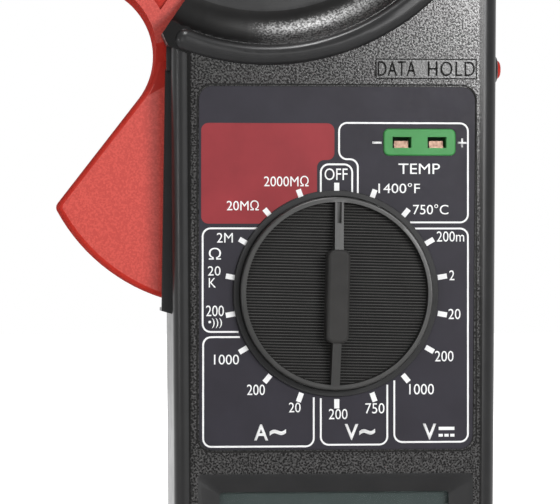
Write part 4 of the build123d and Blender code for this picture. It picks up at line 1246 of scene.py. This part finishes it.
@dataclass
class Fittings:
    """Socket, jacks, display, hold button and the pieces of the inside."""

    finishes: Finishes
    plate: Box = (8.5, 30.2, 134.7, 139.0)
    plate_y: float = -15.95
    plate_words: tuple[tuple[str, float, float], ...] = (("DATA", 9.0, 17.1), ("HOLD", 19.7, 29.8))
    word_low: float = 135.3
    word_high: float = 138.5
    curve_steps: int = 3
    letter_space: float = 1.12
    letter_bold: float = 0.015
    wire: float = 0.085
    bead_wide: float = 0.22
    bead_high: float = 0.1
    bead_root: float = 0.3
    bead_round: float = 0.06
    backing_y: float = -15.88
    backing_thick: float = 0.14
    backing_inset: float = 0.1
    backing_round: float = 0.04

    def outline(self, text: str, left: float, right: float) -> bpy.types.Object:
        """Raised outline of one moulded word.

        Args:
            text: The word.
            left: Its left end in millimetres.
            right: Its right end in millimetres.

        Returns:
            The mesh, a thin bead along the letters' edges.
        """
        item = Bench.text(f"hold_outline_{text.lower()}", text, "CURVE", resolution_u=self.curve_steps,
                          space_character=self.letter_space, offset=self.letter_bold)
        places = [p.co for spline in item.data.splines for p in (spline.bezier_points or spline.points)]
        Bench.fit(item, places, right - left, self.word_high - self.word_low)
        item.data.dimensions = "3D"
        item.data.bevel_depth = self.wire
        item.data.bevel_resolution = 1
        bpy.ops.object.convert(target="MESH")
        item = bpy.context.object
        Bench.stand(item, left, self.plate_y, self.word_low)
        return item

    def frame(self) -> bpy.types.Object:
        """Cuts the raised bead round the plate out of a plain block.

        Returns:
            The bead.
        """
        left, right, low, high = self.plate
        bead = self.bead_wide
        item = Bench.block("hold_frame", (left, self.plate_y - self.bead_high, low),
                           (right, self.plate_y + self.bead_root, high))
        Bench.cut(item, Bench.block("hold_frame_room", (left + bead, CUT_FRONT, low + bead),
                                    (right - bead, CUT_REAR, high - bead)))
        Bench.bevel(item, self.bead_round, FINE_STEPS, ahead_of(self.plate_y))
        return item

    def backing(self) -> bpy.types.Object:
        """Makes the finely sanded ground that the words stand on.

        Returns:
            The thin plate.
        """
        left, right, low, high = self.plate
        inset = self.backing_inset
        item = Bench.block("hold_plate", (left + inset, self.backing_y, low + inset),
                           (right - inset, self.backing_y + self.backing_thick, high - inset))
        Bench.bevel(item, self.backing_round, FINE_STEPS, ahead_of(self.backing_y + SAME))
        return item

    def hold_letters(self) -> bpy.types.Object:
        """Joins the two outlined words and their frame."""
        words = [self.outline(*word) for word in self.plate_words]
        return Bench.join("hold_letters", [self.frame(), *words])

    def inside(self) -> None:
        """Gives the pieces of the inside, which stay as they are packed, their materials."""
        f = self.finishes
        pieces = (
            (f.contact, ("thermocouple_contacts",)),
            (f.display, ("lcd_cell",)),
            (f.rubber, ("zebra_strips",)),
            (f.board, ("main_board",)),
            (f.ivory, ("lcd_frame", "hold_switch", "knob_rotor", "coil_bobbin")),
            (f.resin, ("meter_chip", "buzzer", "battery_snap")),
            (f.blue, ("trimmers", "capacitors", "varistor")),
            (f.tan, ("resistors",)),
            (f.steel, ("board_screws", "hold_spring", "knob_screw", "detent_balls", "detent_springs",
                       "pivot_pin", "lever_spring")),
            (f.copper, ("wiper_contacts", "coil_winding")),
            (f.core, ("moving_core", "fixed_core")),
            (f.red_lead, ("coil_leads", "battery_leads")),
            (f.battery, ("battery",)),
        )
        for material, nodes in pieces:
            for node in nodes:
                Bench.coat(bpy.data.objects[node], material)

    def build(self) -> None:
        """Dresses the fittings."""
        f = self.finishes
        Bench.dress(self.backing(), f.plate_sand, Body.CASE, Slot.CASE)
        # The raised outlines of the words and their frame are in the painted-shade black: the edges are
        # real, but their darkness is painted shade.
        Bench.dress(self.hold_letters(), f.shade_black, Body.CASE, Slot.CASE)
        CarriedPiece("thermocouple_socket", Body.CASE, Slot.SOCKET, f.green).build()
        CarriedPiece("lcd_window", Body.CASE, Slot.WINDOW, f.window).build()
        CarriedPiece("hold_button", Body.BUTTON, Slot.RED, f.red_smooth).build()
        for jack in ("ext", "com", "volt"):
            CarriedPiece(f"{jack}_jack_insulator", Body.CASE, Slot.KNOB, f.knob).build()
            CarriedPiece(f"{jack}_jack_sleeve", Body.CASE, Slot.BRASS, f.brass).build()
        self.inside()


# ------------------------------------------------------------------ studio


@dataclass(frozen=True)
class Lamp:
    """Square area lamp. Its places and side are in metres, its power in watts.

    A lamp for gloss alone shows as a sheen and lights nothing.
    """

    name: str
    place: Place
    aim: Place
    side: float
    power: float
    gloss_only: bool = False

    def build(self) -> None:
        """Sets the lamp up, facing its aim."""
        data = bpy.data.lights.new(self.name, "AREA")
        data.size = self.side
        data.energy = self.power
        lamp = bpy.data.objects.new(self.name, data)
        bpy.context.collection.objects.link(lamp)
        lamp.visible_diffuse = not self.gloss_only
        lamp.location = self.place
        lamp.rotation_mode = "QUATERNION"
        lamp.rotation_quaternion = (Vector(self.aim) - Vector(self.place)).to_track_quat("-Z", "Y")


@dataclass
class Studio:
    """Plain pale floor, white surroundings, soft lamps and the camera.

    The eye, the panel, the view and the sensor are in millimetres, the rest in metres.
    """

    eye: Place = (-70.0, -666.0, 97.9)
    panel_y: float = -16.0
    centre: Point = (-11.9, 97.9)
    view_width: float = 118.6
    sensor: float = 36.0
    clip: Span = (0.01, 50.0)
    world_hidden: float = 0.2
    world_glow: float = 1.0
    floor_side: float = 6.0
    floor_drop: float = 0.0002
    floor_patch: float = 0.5
    floor_roughness: float = 0.9
    floor_hidden: float = 0.1
    floor_glow: float = 0.9
    pale: Colour = (0.86, 0.86, 0.86)
    paler: Colour = (0.88, 0.88, 0.88)
    lamps: tuple[Lamp, ...] = (
        Lamp("sheen", (0.125, -0.41, 0.2), (0.03, 0, 0.13), 0.06, 0.95, True),
        Lamp("key", (0.34, -0.6, 0.22), (0, 0, 0.09), 0.16, 2.9),
        Lamp("fill", (-0.42, -0.7, 0.16), (-0.02, 0, 0.09), 0.4, 1.45),
        Lamp("top", (-0.07, -0.26, 0.62), (0, 0, 0.14), 0.16, 4.0, True),
        Lamp("rim", (-0.6, -0.12, 0.12), (-0.03, 0, 0.1), 0.08, 0.4, True),
        Lamp("back", (-0.3, 1.2, 0.8), (0, 0, 0.1), 0.9, 8.0),
    )

    def camera(self) -> None:
        """Places the camera a little to the left, turned towards the middle of its frame."""
        eye = Vector(self.eye)
        sight = Vector((self.centre[0], self.panel_y, self.centre[1])) - eye
        data = bpy.data.cameras.new("camera")
        data.sensor_width = self.sensor
        data.lens = self.sensor * sight.length / self.view_width
        data.clip_start, data.clip_end = self.clip
        camera = bpy.data.objects.new("camera", data)
        bpy.context.collection.objects.link(camera)
        camera.location = eye * MM
        camera.rotation_euler = sight.to_track_quat("-Z", "Y").to_euler()
        bpy.context.scene.camera = camera

    def world(self) -> None:
        """White surroundings as they are seen, dimmer as light on the object."""
        world = bpy.data.worlds.new("studio")
        bpy.context.scene.world = world
        n = Nodes.start(world)
        white = n.add("ShaderNodeBackground", Color=(1, 1, 1, 1))
        n.link(n.seen(self.world_hidden, self.world_glow), white.inputs["Strength"])
        n.link(white.outputs["Background"], n.add("ShaderNodeOutputWorld").inputs["Surface"])

    def floor(self) -> None:
        """Pale floor under the bottom end."""
        Bench.clear()
        bpy.ops.mesh.primitive_plane_add(size=self.floor_side, location=(0, 0, -self.floor_drop))
        floor = bpy.context.object
        floor.name = "floor"
        n = Nodes.start(bpy.data.materials.new("pale_floor"))
        shader = n.add("ShaderNodeBsdfPrincipled", Roughness=self.floor_roughness,
                       Emission_Color=(1, 1, 1, 1))
        colour = n.ramp(n.noise(self.floor_patch), self.pale, self.paler, 0.3, 0.7)
        glow = n.seen(self.floor_hidden, self.floor_glow)
        Bench.coat(floor, n.close(shader, Base_Color=colour, Emission_Strength=glow))

    def build(self) -> None:
        """Sets up lamps, world, floor and camera."""
        for lamp in self.lamps:
            lamp.build()
        self.world()
        self.floor()
        self.camera()
        bpy.context.scene.view_settings.view_transform = "Standard"


# ------------------------------------------------------------------ main


def main() -> None:
    """Builds the meter's looks in order."""
    logging.basicConfig(level=logging.INFO, format="%(message)s")
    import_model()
    Bench.clear()
    finishes = Finishes()
    for assembly in (CaseShell, JawAndLever, PanelPrinting, RangeKnob, Fittings):
        assembly(finishes).build()
        LOG.info("built %s", assembly.__name__)
    Studio().build()


if __name__ == "__main__":
    main()
